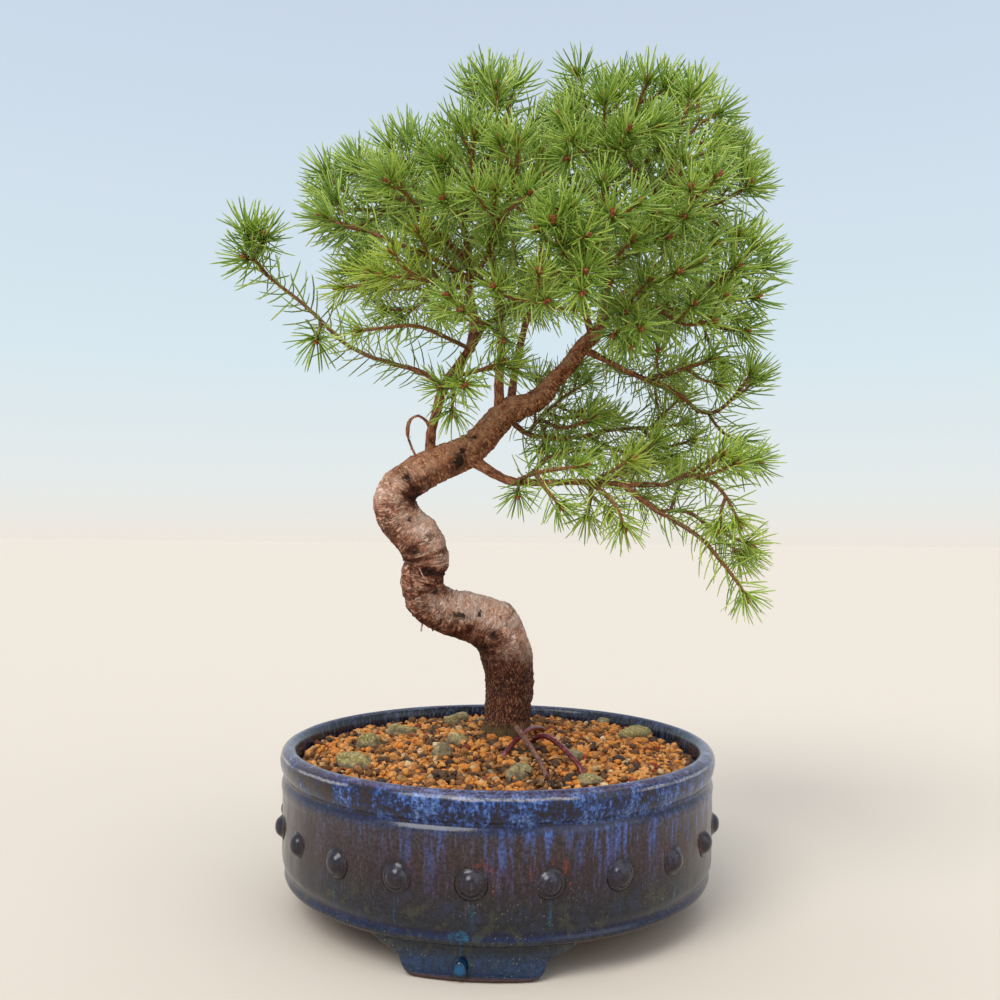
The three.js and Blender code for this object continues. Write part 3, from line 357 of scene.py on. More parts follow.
# Mossy stones: (across, down), length, width, height, turn in degrees, how mossy
STONES = [
    ((355, 766), 17, 11, 9, -25, 1.0), ((369, 746), 11, 9, 9, 40, 0.8), ((402, 734), 15, 9, 7, 5, 0.7),
    ((453, 725), 9, 7, 8, 20, 0.7), ((441, 756), 10, 8, 8, 60, 0.35), ((457, 743), 9, 6, 6, -15, 0.6),
    ((635, 737), 17, 10, 8, 25, 1.0), ((519, 777), 11, 9, 8, 30, 0.6), ((590, 783), 10, 7, 5, 0, 0.7),
    ((461, 721), 9, 7, 7, 70, 0.15), ((574, 758), 8, 6, 5, 10, 0.4), ((604, 725), 9, 7, 5, 40, 0.3),
]


def seen(place):
    """A place in the view, as a point of the part in millimetres."""
    across, down, back = place[:3]
    right = across - VIEW_MIDDLE
    below = down - VIEW_MIDDLE
    turn, lean = math.cos(VIEW_ROLL), math.sin(VIEW_ROLL)
    level = (right * turn + below * lean) / VIEW_FOCAL
    rise = (right * lean - below * turn) / VIEW_FOCAL
    reach = back + VIEW_DISTANCE
    cos, sin = math.cos(VIEW_TILT), math.sin(VIEW_TILT)
    up = reach * (rise * cos - sin) / (cos + rise * sin)
    return Vector((level * (reach * cos - up * sin), back, VIEW_HEIGHT + up))


def mix(first, second, share):
    return first + (second - first) * share


def fade(low, high, value):
    """From 0 at low to 1 at high, smoothly. low may be the greater."""
    share = min(1, max(0, (value - low) / (high - low)))
    return share * share * (3 - 2 * share)


class Line:
    """A smooth curve through points, read by the distance along it."""

    def __init__(self, points, spacing=0.8):
        self.places = [points[0].copy()]
        for index in range(len(points) - 1):
            first, second = points[index], points[index + 1]
            before = points[index - 1] if index else first * 2 - second
            after = points[index + 2] if index + 2 < len(points) else second * 2 - first
            self._bend(before, first, second, after, spacing)
        self.lengths = [0.0]
        for first, second in zip(self.places, self.places[1:]):
            self.lengths.append(self.lengths[-1] + (second - first).length)
        self.length = self.lengths[-1]

    def _bend(self, before, first, second, after, spacing):
        spans = [max(1e-4, math.sqrt((b - a).length))
                 for a, b in ((before, first), (first, second), (second, after))]
        leave = ((first - before) / spans[0] - (second - before) / (spans[0] + spans[1])
                 + (second - first) / spans[1]) * spans[1]
        arrive = ((second - first) / spans[1] - (after - first) / (spans[1] + spans[2])
                  + (after - second) / spans[2]) * spans[1]
        square = (second - first) * 3 - leave * 2 - arrive
        cube = (first - second) * 2 + leave + arrive
        steps = max(2, round((second - first).length / spacing))
        for step in range(1, steps + 1):
            t = step / steps
            self.places.append(first + leave * t + square * t * t + cube * t * t * t)

    def at(self, distance):
        """The point at a distance along the curve, and the direction there."""
        distance = min(self.length, max(0.0, distance))
        high = int(np.searchsorted(self.lengths, distance))
        high = min(len(self.places) - 1, max(1, high))
        low = high - 1
        share = (distance - self.lengths[low]) / (self.lengths[high] - self.lengths[low])
        ahead = (self.places[high] - self.places[low]).normalized()
        return self.places[low].lerp(self.places[high], share), ahead

    def nearest(self, point):
        """How far along the curve the place nearest to a point is."""
        gaps = [(place - point).length_squared for place in self.places]
        return self.lengths[gaps.index(min(gaps))]

    def frames(self, step):
        """Matrices along the curve, each turned as little as the curve allows, with Z ahead."""
        count = max(2, round(self.length / step))
        made = []
        side = None
        for index in range(count + 1):
            distance = self.length * index / count
            point, ahead = self.at(distance)
            if side is None:
                side = ahead.cross(Vector((0, -1, 0.2))).normalized()
            side = (side - ahead * side.dot(ahead)).normalized()
            made.append((distance, basis(point, side, ahead.cross(side), ahead)))
        return made


def basis(point, x, y, z):
    """The matrix with these axes at a point."""
    return Matrix.Translation(point) @ Matrix((x, y, z)).transposed().to_4x4()


def square_to(ahead):
    """A direction square to another."""
    other = Vector((0, 0, 1)) if abs(ahead.z) < 0.9 else Vector((1, 0, 0))
    return ahead.cross(other).normalized()


def beside(ahead, angle):
    """A direction square to another, turned round it by an angle."""
    return Matrix.Rotation(angle, 3, ahead) @ square_to(ahead)


def pointing(point, way):
    """The matrix at a point whose Z axis runs a given way."""
    x = square_to(way)
    return basis(point, x, way.cross(x), way)


def limb_radius(places):
    """The thickness table of a limb as a function of the distance along it."""
    points = [seen(place) for place in places]
    marks = [0.0]
    for first, second in zip(points, points[1:]):
        marks.append(marks[-1] + (second - first).length)
    radii = [place[3] / 2 for place in places]

    def radius(share):
        along = share * marks[-1]
        index = 1
        while index < len(marks) - 1 and marks[index] < along:
            index += 1
        return mix(radii[index - 1], radii[index], fade(marks[index - 1], marks[index], along))

    return radius


def lay_limbs():
    """Every limb's curve and thickness. A limb starts on the one that bears it."""
    lines, radii = {}, {}
    for name, (parent, places) in LIMBS.items():
        points = [seen(place) for place in places]
        if parent:
            points[0] = lines[parent].at(lines[parent].nearest(points[0]))[0]
        lines[name] = Line(points)
        radii[name] = limb_radius(places)
    return lines, radii


LIMB_LINES, LIMB_RADII = lay_limbs()
BRANCH_LINES = {name: line for name, line in LIMB_LINES.items() if name != "trunk"}


def soil_height(x, y):
    """The height of the soil, mounded at the trunk."""
    trunk = seen(LIMBS["trunk"][1][2])
    away = math.hypot(x - trunk.x, y - trunk.y) / POT_RADIUS
    return SOIL_EDGE + (SOIL_CROWN - SOIL_EDGE) * math.exp(-MOUND_FALL * away * away)


def on_soil(across, down):
    """The place on the soil that is seen at a point of the view."""
    back = -80
    point = seen((across, down, back))
    while point.z > soil_height(point.x, point.y) and back < 80:
        back += 0.5
        point = seen((across, down, back))
    return point


# Meshes


def verts_of(made):
    return [item for item in made if isinstance(item, bmesh.types.BMVert)]


def open_edges(made):
    return [item for item in made if isinstance(item, bmesh.types.BMEdge) and item.is_boundary]


def edges_at(verts):
    """The edges of some vertices, in an order that is the same each run."""
    return list(dict.fromkeys(edge for vert in verts for edge in vert.link_edges))


def make_smooth(bm, material=0):
    for face in bm.faces:
        face.smooth = True
        face.material_index = material


def sweep(bm, line, radius_at, sides, step, mark=None, material=0):
    """A round bar along a curve, extruded ring by ring from a circle. mark is called for each ring."""
    frames = line.frames(step)
    place = frames[0][1]
    size = radius_at(0)
    ring = bmesh.ops.create_circle(bm, cap_ends=False, radius=1, segments=sides, matrix=place)["verts"]
    rings = [ring]
    edges = edges_at(ring)
    bmesh.ops.transform(bm, matrix=place @ Matrix.Scale(size, 4) @ place.inverted(), verts=ring)
    first_edges = edges
    for distance, there in frames[1:]:
        made = bmesh.ops.extrude_edge_only(bm, edges=edges)["geom"]
        ring, edges = verts_of(made), open_edges(made)
        grown = radius_at(distance / line.length)
        change = there @ Matrix.Scale(grown / size, 4) @ place.inverted()
        bmesh.ops.transform(bm, matrix=change, verts=ring)
        place, size = there, grown
        rings.append(ring)
    if mark:
        for ring, (distance, there) in zip(rings, frames):
            mark(ring, distance, there)
    faces = list({face for ring in rings for vert in ring for face in vert.link_faces})
    faces += bmesh.ops.edgeloop_fill(bm, edges=first_edges)["faces"]
    faces += bmesh.ops.edgeloop_fill(bm, edges=edges)["faces"]
    for face in faces:
        face.smooth = True
        face.material_index = material


def turned(bm, outline, steps, matrix=None):
    """An outline of (radius, height) points spun about Z."""
    verts = [bm.verts.new((radius, 0, height)) for radius, height in outline]
    edges = [bm.edges.new(pair) for pair in zip(verts, verts[1:])]
    before = set(bm.verts) - set(verts)
    bmesh.ops.spin(bm, geom=verts + edges, cent=(0, 0, 0), axis=(0, 0, 1), angle=2 * math.pi, steps=steps,
                   use_merge=True)
    made = [vert for vert in bm.verts if vert not in before]
    if matrix:
        bmesh.ops.transform(bm, matrix=matrix, verts=made)
    return made


def finish_piece(bm, name, materials, replaced=(), recalculate=False):
    """Scales a mesh of millimetres to metres and makes it a piece that rides on the tree's body."""
    if recalculate:
        bmesh.ops.recalc_face_normals(bm, faces=bm.faces)
    bmesh.ops.scale(bm, vec=(MM, MM, MM), verts=bm.verts)
    mesh = bpy.data.meshes.new(name)
    bm.to_mesh(mesh)
    bm.free()
    for material in materials:
        mesh.materials.append(material)
    piece = bpy.data.objects.new(name, mesh)
    bpy.context.scene.collection.objects.link(piece)
    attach(piece, "root")
    if replaced:
        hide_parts(*replaced)
    return piece


# Materials


def rgb(red, green, blue):
    """A screen colour from 0 to 255, as the linear colour that Blender keeps."""
    def linear(value):
        value /= 255
        return value / 12.92 if value <= 0.04045 else ((value + 0.055) / 1.055) ** 2.4

    return (linear(red), linear(green), linear(blue))


def arithmetic(operation, reflected=False):
    """One operator of a Value, as a method that adds a Math node."""
    def apply(self, other):
        return self._math(operation, other, self) if reflected else self._math(operation, self, other)

    return apply


class Value:
    """A socket whose arithmetic adds Math nodes to its material."""

    def __init__(self, maker, socket):
        self.maker = maker
        self.socket = socket

    def _math(self, operation, *values):
        inputs = dict(enumerate(values))
        return self.maker.node("ShaderNodeMath", inputs, operation=operation)

    __add__ = arithmetic("ADD")
    __radd__ = arithmetic("ADD", reflected=True)
    __sub__ = arithmetic("SUBTRACT")
    __rsub__ = arithmetic("SUBTRACT", reflected=True)
    __mul__ = arithmetic("MULTIPLY")
    __rmul__ = arithmetic("MULTIPLY", reflected=True)
    __truediv__ = arithmetic("DIVIDE")
    __rtruediv__ = arithmetic("DIVIDE", reflected=True)
    most = arithmetic("MAXIMUM")

    def __pow__(self, other):
        return self._math("MULTIPLY", self, self) if other == 2 else self._math("POWER", self, other)

    def __abs__(self):
        return self._math("ABSOLUTE", self)


class Maker:
    """Builds one material around a Principled shader."""

    def __init__(self, name, **sockets):
        self.material = bpy.data.materials.new(name)
        self.material.use_nodes = True
        self.tree = self.material.node_tree
        self.tree.nodes.clear()
        self.shader = self.tree.nodes.new("ShaderNodeBsdfPrincipled")
        out = self.tree.nodes.new("ShaderNodeOutputMaterial")
        self.tree.links.new(self.shader.outputs["BSDF"], out.inputs["Surface"])
        self.finish(**sockets)

    def put(self, socket, value):
        """Links a value to a socket, or sets the socket to a number, a colour or a vector."""
        if isinstance(value, Value):
            self.tree.links.new(value.socket, socket)
        elif isinstance(value, (int, float)):
            socket.default_value = value
        else:
            value = tuple(value)
            socket.default_value = value + (1.0,) * (len(socket.default_value) - len(value))

    def node(self, kind, inputs=None, output=0, stops=None, **settings):
        """Any node: its settings first, then the values or links of its sockets."""
        made = self.tree.nodes.new(kind)
        for name, value in settings.items():
            setattr(made, name, value)
        if stops:
            ramp = made.color_ramp
            ramp.elements.remove(ramp.elements[1])
            ramp.elements[0].position = stops[0][0]
            ramp.elements[0].color = (*stops[0][1], 1)
            for position, tint in stops[1:]:
                ramp.elements.new(position).color = (*tint, 1)
        for key, value in (inputs or {}).items():
            self.put(made.inputs[key], value)
        return Value(self, made.outputs[output])

    def point(self, scale=(1, 1, 1)):
        """The piece's own place in millimetres, times a scale for each axis."""
        place = self.node("ShaderNodeTexCoord", output="Object")
        return self.node("ShaderNodeMapping", {"Vector": place, "Scale": [s / MM for s in scale]})

    def attribute(self, name, output="Vector"):
        return self.node("ShaderNodeAttribute", output=output, attribute_name=name)

    def scaled(self, vector, scale):
        return self.node("ShaderNodeMapping", {"Vector": vector, "Scale": scale})

    def split(self, vector):
        made = self.node("ShaderNodeSeparateXYZ", {"Vector": vector})
        outputs = made.socket.node.outputs
        return [Value(self, outputs[index]) for index in range(3)]

    def noise(self, vector, size, detail=3.0, rough=0.55, warp=0.0):
        """A cloudy value from 0 to 1 with lumps of a size in the vector's own unit."""
        inputs = {"Vector": vector, "Scale": 1 / size, "Detail": detail, "Roughness": rough,
                  "Distortion": warp}
        return self.node("ShaderNodeTexNoise", inputs, output="Fac")

    def cells(self, vector, size, output="Distance"):
        """How far the middle of the nearest cell is, or the cell's own colour."""
        return self.node("ShaderNodeTexVoronoi", {"Vector": vector, "Scale": 1 / size}, output=output)

    def fade(self, value, low, high):
        """From 0 at low to 1 at high, smoothly. low may be the greater."""
        inputs = {"Value": value, "From Min": low, "From Max": high}
        return self.node("ShaderNodeMapRange", inputs, interpolation_type="SMOOTHSTEP", clamp=True)

    def ramp(self, value, *stops):
        return self.node("ShaderNodeValToRGB", {"Fac": value}, stops=stops)

    def blend(self, share, first, second, kind="MIX"):
        inputs = {0: share, 6: first, 7: second}
        return self.node("ShaderNodeMix", inputs, output=2, data_type="RGBA", blend_type=kind)

    def bump(self, height, depth, strength=1.0, below=None):
        inputs = {"Height": height, "Distance": depth * MM, "Strength": strength}
        if below:
            inputs["Normal"] = below
        return self.node("ShaderNodeBump", inputs)

    def finish(self, **sockets):
        """Sets sockets of the shader, named with underscores, and gives the material."""
        for socket, value in sockets.items():
            self.put(self.shader.inputs[socket.replace("_", " ")], value)
        return self.material


# Thick glaze that ran down at the front: height, half width above and below, half height, how proud
POOL_HEIGHT = 15.7
DROP_HEIGHT = 4.3
DROPS = [(POOL_HEIGHT, 3.4, 3.6, 1.9, 0.05), (DROP_HEIGHT, 2.1, 2.7, 3.1, 0.8)]
DROPS_AZIMUTH = math.radians(-90 - 8)
DROPS_SEAT = 86.5
DROPS_X = 86.8 * math.cos(DROPS_AZIMUTH)


def glaze_material(look):
    """The runny glaze: cobalt at the rim, streaked brown and violet below, slate and navy at the foot."""
    m = Maker("runny_glaze", Coat_Weight=0.15, Coat_Roughness=0.06, Specular_IOR_Level=0.34)
    point = m.point()
    x, y, z = m.split(point)
    radius = (x * x + y * y) ** 0.5
    streak = m.noise(m.point((1, 1, 0.13)), 1.5, 4, 0.6)
    run = m.noise(m.point((1, 1, 0.1)), 5.5, 3, 0.5, 0.4)
    mottle = m.noise(point, 1.1, 3, 0.7)
    cloud = m.noise(m.point((1, 1, 0.6)), 26, 2, 0.5)
    wander = (m.noise(point, 7, 2) - 0.5) * 3
    height = z + (run - 0.5) * 9 * m.fade(z, 50, 42) * m.fade(z, 17, 24) + wander * 0.4

    # The zones, from the foot to the lip
    zones = [
        (0, (26, 52, 84)), (6, (28, 52, 82)), (9, (36, 46, 58)), (13.6, (40, 44, 50)),
        (14.8, (14, 24, 62)), (16.8, (12, 22, 56)), (18.6, (28, 34, 44)), (24, (34, 34, 42)),
        (30, (42, 32, 36)), (36, (54, 36, 38)), (43, (58, 43, 42)), (48.4, (62, 52, 58)),
        (50.4, (44, 46, 70)), (52.2, (14, 18, 56)), (54, (18, 22, 54)), (57, (30, 34, 62)),
        (60.6, (36, 38, 62)), (62.2, (44, 48, 90)), (64, (56, 66, 132)),
    ]
    base = m.ramp(height / POT_HEIGHT, *[(at / POT_HEIGHT, rgb(*tint)) for at, tint in zones])

    # Blue runs that break the brown below the rim, wider towards the right of the front
    side = m.fade(x + wander * 4, -70, 45)
    thread = m.noise(m.point((1, 1, 0.12)), 0.95, 5, 0.75)
    runs = m.fade(streak * 0.35 + run * 0.35 + thread * 0.3, 0.47, 0.58)
    runs = runs * m.fade(z + (run - 0.5) * 34, 27, 49) * m.fade(z, 53, 50) * (0.15 + side * 0.75)
    colour = m.blend(runs, base, look.streak)
    glow = m.fade(streak * 0.4 + run * 0.6, 0.49, 0.6) * m.fade(z + (run - 0.5) * 30, 39, 49) * side
    colour = m.blend(glow * m.fade(z, 51.5, 49.5) * 0.85, colour, rgb(62, 98, 174))
    violet = m.fade(run, 0.52, 0.66) * m.fade(z, 27, 33) * m.fade(z, 48, 41) * side * 0.4
    colour = m.blend(violet, colour, rgb(66, 56, 92))
    grey = m.fade(streak, 0.5, 0.64) * m.fade(z, 38, 46) * m.fade(z, 51, 48) * 0.15
    colour = m.blend(grey, colour, rgb(104, 108, 128))

    # The studs stand in dark halos, with red flecks beside them and turquoise runs below
    turn = m.node("ShaderNodeMath", {0: y, 1: x}, operation="ARCTAN2")
    share = (turn - FRONT) * (STUDS / (2 * math.pi)) + 0.5 + STUDS
    aside = (m.node("ShaderNodeMath", {0: share}, operation="FRACT") - 0.5) * (2 * math.pi / STUDS)
    aside = aside * POT_RADIUS
    above = z - STUD_HEIGHT
    away = (aside * aside + above * above) ** 0.5
    outer = m.fade(radius, 84, 86)
    halo = m.fade(away + wander * 0.5, 7.6, 5.0) * m.fade(away, 3.4, 4.6) * outer
    colour = m.blend(halo * 0.75, colour, rgb(30, 20, 26))
    fleck = m.fade(m.noise(m.point((1, 1, 0.45)), 1.7, 3, 0.7), 0.54, 0.64)
    flame = m.fade(away, 11, 6.8) * m.fade(away, 4.6, 5.8) * m.fade(above, -6, 0) * m.fade(cloud, 0.4, 0.56)
    colour = m.blend(fleck * flame * outer * 0.7, colour, look.flame)
    dome = m.fade(away, 4.4, 3.7) * outer
    colour = m.blend(dome * 0.72, colour, rgb(36, 31, 42))
    drip = m.fade(abs(aside + (run - 0.5) * 8 + 0.8), 1.0, 0.2) * m.fade(z, 31, 24) * m.fade(z, 14, 19)
    drip = drip * m.fade(m.noise(point, 30, 1), 0.42, 0.54) * outer * m.fade(thread, 0.36, 0.56)
    colour = m.blend(drip * 0.75, colour, look.turquoise)

    # Mottled rim band, and the lip with painted highlights: pale patches on its top and a thin pale line
    # along its outer edge
    band = m.fade(z, 51.6, 53.2) * outer
    blotch = m.noise(m.point((1, 1, 0.85)), 7.5, 3, 0.6, 0.6)
    fibre = m.noise(m.point((1, 1, 0.28)), 1.4, 4, 0.65)
    middle = m.fade(abs(x - 2), 70, 25)
    tone = blotch * 0.42 + fibre * 0.34 + mottle * 0.24 + (middle + side - 1) * 0.045
    rim = m.ramp(tone, (0.42, rgb(50, 34, 32)), (0.47, rgb(31, 29, 44)), (0.51, rgb(27, 42, 86)),
                 (0.56, look.cobalt), (0.64, rgb(104, 132, 180)))
    colour = m.blend(band, colour, rim)
    # Pale patches on the front of the lip's top: a painted highlight
    pale = m.fade(m.noise(point, 6, 4, 0.7), 0.5, 0.62) * m.fade(z, 62.2, 63.4) * m.fade(radius, 85, 86.4)
    colour = m.blend(m.fade(z, 62, 63.2) * m.fade(radius, 85, 86.4) * 0.65, colour, rgb(90, 76, 98))
    colour = m.blend(pale * 0.5, colour, rgb(132, 146, 190))
    # The thin pale line along the lip's outer edge is a painted highlight
    edge = m.fade(abs(z - 61.6 + wander * 0.3), 0.7, 0.15) * m.fade(radius, 87.4, 89)
    edge = edge * m.fade(cloud, 0.4, 0.5)
    colour = m.blend(edge * 0.8, colour, rgb(158, 154, 160))

    # The inside of the wall
    inner = m.fade(radius, 86.6, 85.0) * m.fade(z, 64.4, 63.0) * m.fade(z, 20, 22)
    lining = m.blend(m.fade(streak, 0.46, 0.64), rgb(30, 33, 44), rgb(74, 84, 112))
    colour = m.blend(inner, colour, lining)

    # Fine mottle, cream speckles, and bare clay where the glaze ends
    fine = m.fade(mottle, 0.36, 0.66)
    shade = m.blend(fine, (0.36, 0.35, 0.35), (1.04, 1.0, 1.0))
    hair = m.fade(thread, 0.52, 0.66) * m.fade(z, 18, 30) * m.fade(z, 52, 50) * 0.2
    colour = m.blend(hair, colour, rgb(120, 110, 124))
    colour = m.blend(1.0, colour, shade, "MULTIPLY")
    for size, share, least in ((1.8, 0.78, 0.15), (1.0, 0.7, 0.24)):
        speck = m.cells(point, size)
        chance = m.node("ShaderNodeSeparateColor", {"Color": m.cells(point, size, "Color")})
        where = (0.2 + 0.8 * m.fade(z, 40, 28)) * m.fade(cloud, 0.36, 0.56)
        dots = m.fade(speck, least, least * 0.4) * m.fade(chance, share, share + 0.08) * where
        colour = m.blend(dots * 0.5, colour, rgb(176, 162, 122))
    patch = m.noise(point, 6.5, 4, 0.65)
    colour = m.blend(m.fade(patch, 0.54, 0.64) * m.fade(z, 32, 22) * 0.45, colour, rgb(66, 64, 44))
    colour = m.blend(m.fade(patch, 0.46, 0.36) * m.fade(z, 34, 24) * 0.5, colour, rgb(34, 42, 66))
    front = m.fade(y, -60, -70)
    left = x - DROPS_X
    spread = ((left / 3.5) ** 2 + ((z - POOL_HEIGHT) / 1.9) ** 2) ** 0.5
    spread = spread + (m.noise(point, 2.4, 3) - 0.5) * 2.4
    turquoise = m.blend(m.fade(mottle, 0.4, 0.62), rgb(12, 26, 58), rgb(24, 88, 108))
    colour = m.blend(m.fade(spread, 1.0, 0.75) * front * 0.85, colour, turquoise)
    neck = m.fade(abs(left + (mottle - 0.5) * 1.2), 1.6, 0.6) * m.fade(z, 6, 7) * m.fade(z, 15, 14) * front
    trickle = m.blend(m.fade(abs(left + (thread - 0.5) * 3), 0.7, 0.2), rgb(12, 24, 44), rgb(20, 70, 90))
    colour = m.blend(neck * 0.8, colour, trickle)
    spread = ((left / 2.9) ** 2 + ((z - DROP_HEIGHT) / 3.2) ** 2) ** 0.5 + (mottle - 0.5) * 0.3
    drop = m.blend(m.fade(spread + m.fade(z, 4, 2) * 0.5, 0.95, 0.3), rgb(8, 24, 42), rgb(12, 72, 108))
    colour = m.blend(m.fade(spread, 1.06, 0.96) * front, colour, drop)
    foot = m.fade(z, 2.0, 1.0)
    third = m.node("ShaderNodeMath", {0: (turn - FRONT) * (FEET / (2 * math.pi)) + 0.5 + FEET},
                   operation="FRACT")
    free = m.fade(abs(third - 0.5), 0.19, 0.21)
    rim_line = m.fade(abs(z - 12.2), 0.75, 0.35) * m.fade(radius, 83.5, 85)
    rim_line = rim_line * m.fade(mottle, 0.34, 0.44) * free
    under = m.fade(z, 12.6, 12.1) * m.fade(radius, 85.4, 84.6) * m.fade(z, 11.4, 11.8)
    below = m.fade(radius, 82, 81) * m.fade(z, 21, 20.5) * m.fade(z, 11.4, 11.8)
    bare = foot.most(rim_line * 0.9).most(under).most(below)
    clay = m.blend(mottle, rgb(74, 44, 28), rgb(126, 78, 50))
    clay = m.blend(foot * 0.75, clay, rgb(44, 31, 26))
    colour = m.blend(bare, colour, clay)

    rough = 0.16 + 0.14 * mottle + bare * 0.5
    ripple = m.noise(m.point((1, 1, 0.5)), 4.5, 3, 0.5)
    first = m.bump(ripple, 0.5, 0.35)
    grain = m.bump(mottle, 0.12, 0.3, first)
    return m.finish(Base_Color=colour, Roughness=rough, Normal=grain)


def grain_material(look):
    """Dry mineral grains. Each grain's own tone picks its colour."""
    m = Maker("soil_grains", Specular_IOR_Level=0.25)
    tone, wet_and_shaded = m.split(m.attribute("grain"))[:2]
    colour = m.ramp(
        tone, (0.0, look.orange), (0.2, rgb(206, 134, 62)), (0.34, look.tan), (0.46, rgb(184, 126, 70)),
        (0.58, rgb(146, 98, 56)), (0.7, look.brown), (0.8, rgb(88, 66, 50)), (0.88, rgb(62, 52, 46)),
        (0.925, rgb(150, 66, 34)), (0.95, rgb(172, 136, 90)), (0.985, rgb(208, 178, 132)),
        (1.0, look.pale))
    point = m.point()
    dust = m.noise(point, 0.9, 4, 0.7)
    shade = m.blend(m.fade(dust, 0.3, 0.7), (0.55, 0.52, 0.5), (1.2, 1.16, 1.1))
    colour = m.blend(1.0, colour, shade, "MULTIPLY")
    # Darker where the soil is wet, and painted shadow along the front rim
    colour = m.blend(wet_and_shaded * 0.85, colour, rgb(34, 26, 20))
    pits = m.bump(m.noise(point, 0.5, 3, 0.7), 0.25, 0.6)
    return m.finish(Base_Color=colour, Roughness=0.92 - wet_and_shaded * 0.3, Normal=pits)


def bed_material():
    """The fine dark soil between the grains, its darkness partly painted shade in the gaps between them."""
    m = Maker("soil_fines_and_gap_shade", Specular_IOR_Level=0.2)
    point = m.point()
    lumps = m.noise(point, 1.6, 5, 0.75)
    colour = m.ramp(lumps, (0.3, rgb(34, 24, 16)), (0.55, rgb(88, 58, 34)), (0.75, rgb(140, 96, 56)))
    return m.finish(Base_Color=colour, Roughness=0.95, Normal=m.bump(lumps, 0.8, 0.8))


def stone_material():
    """Rough stones with a thin skin of moss on the side that faces up."""
    m = Maker("mossy_stone", Specular_IOR_Level=0.25)
    point = m.point()
    moss = m.split(m.attribute("moss"))[0]
    lumps = m.noise(point, 2.4, 5, 0.7)
    rock = m.ramp(lumps, (0.3, rgb(66, 56, 42)), (0.5, rgb(122, 106, 78)), (0.72, rgb(172, 154, 118)))
    green = m.ramp(m.noise(point, 1.0, 4, 0.7), (0.3, rgb(74, 64, 38)), (0.52, rgb(142, 127, 78)),
                   (0.72, rgb(200, 182, 128)))
    cover = m.fade(moss + (lumps - 0.5) * 1.6, 0.4, 0.8)
    colour = m.blend(cover, rock, green)
    return m.finish(Base_Color=colour, Roughness=0.9, Normal=m.bump(lumps, 0.7, 0.8))


def bark_material(look):
    """Thin flaking bark: pinkish tan on the upper bends, dark red brown at the base, with painted shade on
    its undersides, in its hollows and creases.
    """
    m = Maker("spruce_bark", Specular_IOR_Level=0.22)
    along = m.attribute("bark")
    # under is partly a moisture stain and partly painted shade: strongest where the bark faces down, inside
    # its bends and in its folds
    scar, under, near = m.split(m.attribute("scar"))
    point = m.point()
    z = m.split(point)[2]
    cloud = m.noise(point, 8, 3, 0.6)
    patch = m.noise(point, 2.8, 5, 0.7, 0.6)
    grain = m.noise(point, 0.6, 5, 0.8)
    torn = m.noise(point, 1.2, 4, 0.75)
    wrinkle = m.noise(m.scaled(along, (0.24, 0.24, 1)), 0.9, 5, 0.7, 0.5)
    flake = m.noise(m.scaled(along, (1, 1, 0.3)), 1.0, 4, 0.7)

    # Upper bark: pink and tan clouds, browner on its undersides, in its hollows and in its folds, partly a
    # moisture stain and partly painted shade, with the palest pink as a painted highlight
    tone = cloud * 0.35 + patch * 0.35 + wrinkle * 0.3 - under * 0.2
    upper = m.ramp(tone, (0.24, rgb(62, 30, 20)), (0.33, rgb(134, 78, 54)), (0.4, rgb(196, 136, 106)),
                   (0.46, look.bark), (0.55, rgb(248, 214, 196)))
    upper = m.blend(m.fade(grain, 0.34, 0.52), m.blend(1.0, upper, (0.52, 0.42, 0.36), "MULTIPLY"), upper)

    # Bark of the foot: dark red brown with pale upright flakes
    lower = m.ramp(cloud * 0.4 + grain * 0.6, (0.34, rgb(30, 12, 8)), (0.5, look.base),
                   (0.66, rgb(122, 56, 32)))
    chips = m.noise(m.scaled(along, (1, 1, 0.34)), 0.62, 4, 0.8)
    lower = m.blend(m.fade(chips, 0.52, 0.58) * m.fade(patch, 0.34, 0.5) * 0.85, lower, rgb(184, 130, 90))
    # The dark foot reaches higher where the painted shade of under is strong
    base = m.fade(z + (patch - 0.5) * 22 - under * 6, 107, 91)
    colour = m.blend(base, upper, lower)

    # The upper arm turns orange brown like the limbs
    warm = m.fade(z + (cloud - 0.5) * 20, 167, 182)
    arm = m.ramp(patch * 0.6 + flake * 0.4, (0.34, rgb(82, 40, 24)), (0.44, rgb(164, 92, 52)),
                 (0.56, rgb(218, 154, 104)))
    colour = m.blend(warm * 0.8, colour, arm)

    # Painted shade in the creases, deepest on the undersides, dark pits, rings round the knots, and the black
    # of old wounds
    crease = m.fade(abs(wrinkle - 0.5), 0.045, 0.008) * (0.4 + 0.6 * m.fade(under + patch, 0.5, 0.9))
    pits = m.fade(torn, 0.6, 0.68) * m.fade(patch, 0.4, 0.52)
    dark = (crease * 0.85).most(pits * 0.85) * (1 - base * 0.6)
    near = near + (torn - 0.5) * 1.2 + (grain - 0.5) * 0.5
    rings = m.node("ShaderNodeMath", {0: near * 8.5 + cloud * 9}, operation="SINE")
    rings = m.fade(rings, 0.1, 0.9) * m.fade(near, 1.7, 1.0) * m.fade(grain + patch, 0.8, 1.1)
    wound = m.fade(scar + (torn - 0.5) * 2.4 + (grain - 0.5) * 0.8, 0.3, 0.55) * m.fade(scar, 0.04, 0.2)
    dark = dark.most(rings * 0.55)
    # The wound colour also paints the shade in the creases
    colour = m.blend(dark, colour, look.wound)
    healed = m.blend(grain, rgb(66, 42, 30), rgb(132, 96, 72))
    colour = m.blend(wound * 0.9, colour, m.blend(m.fade(scar, 0.34, 0.6), healed, rgb(34, 23, 20)))
    moss = m.fade(z + (flake - 0.5) * 7, 69, 64)
    colour = m.blend(moss * 0.75, colour, m.blend(grain, rgb(46, 34, 20), rgb(112, 98, 56)))
    relief = grain * 0.7 + wrinkle * 0.6 + flake * 0.3 - dark * 0.5 - wound * 0.5
    rough = 0.82 - base * 0.2
    return m.finish(Base_Color=colour, Roughness=rough, Normal=m.bump(relief, 1.0, 1.0))


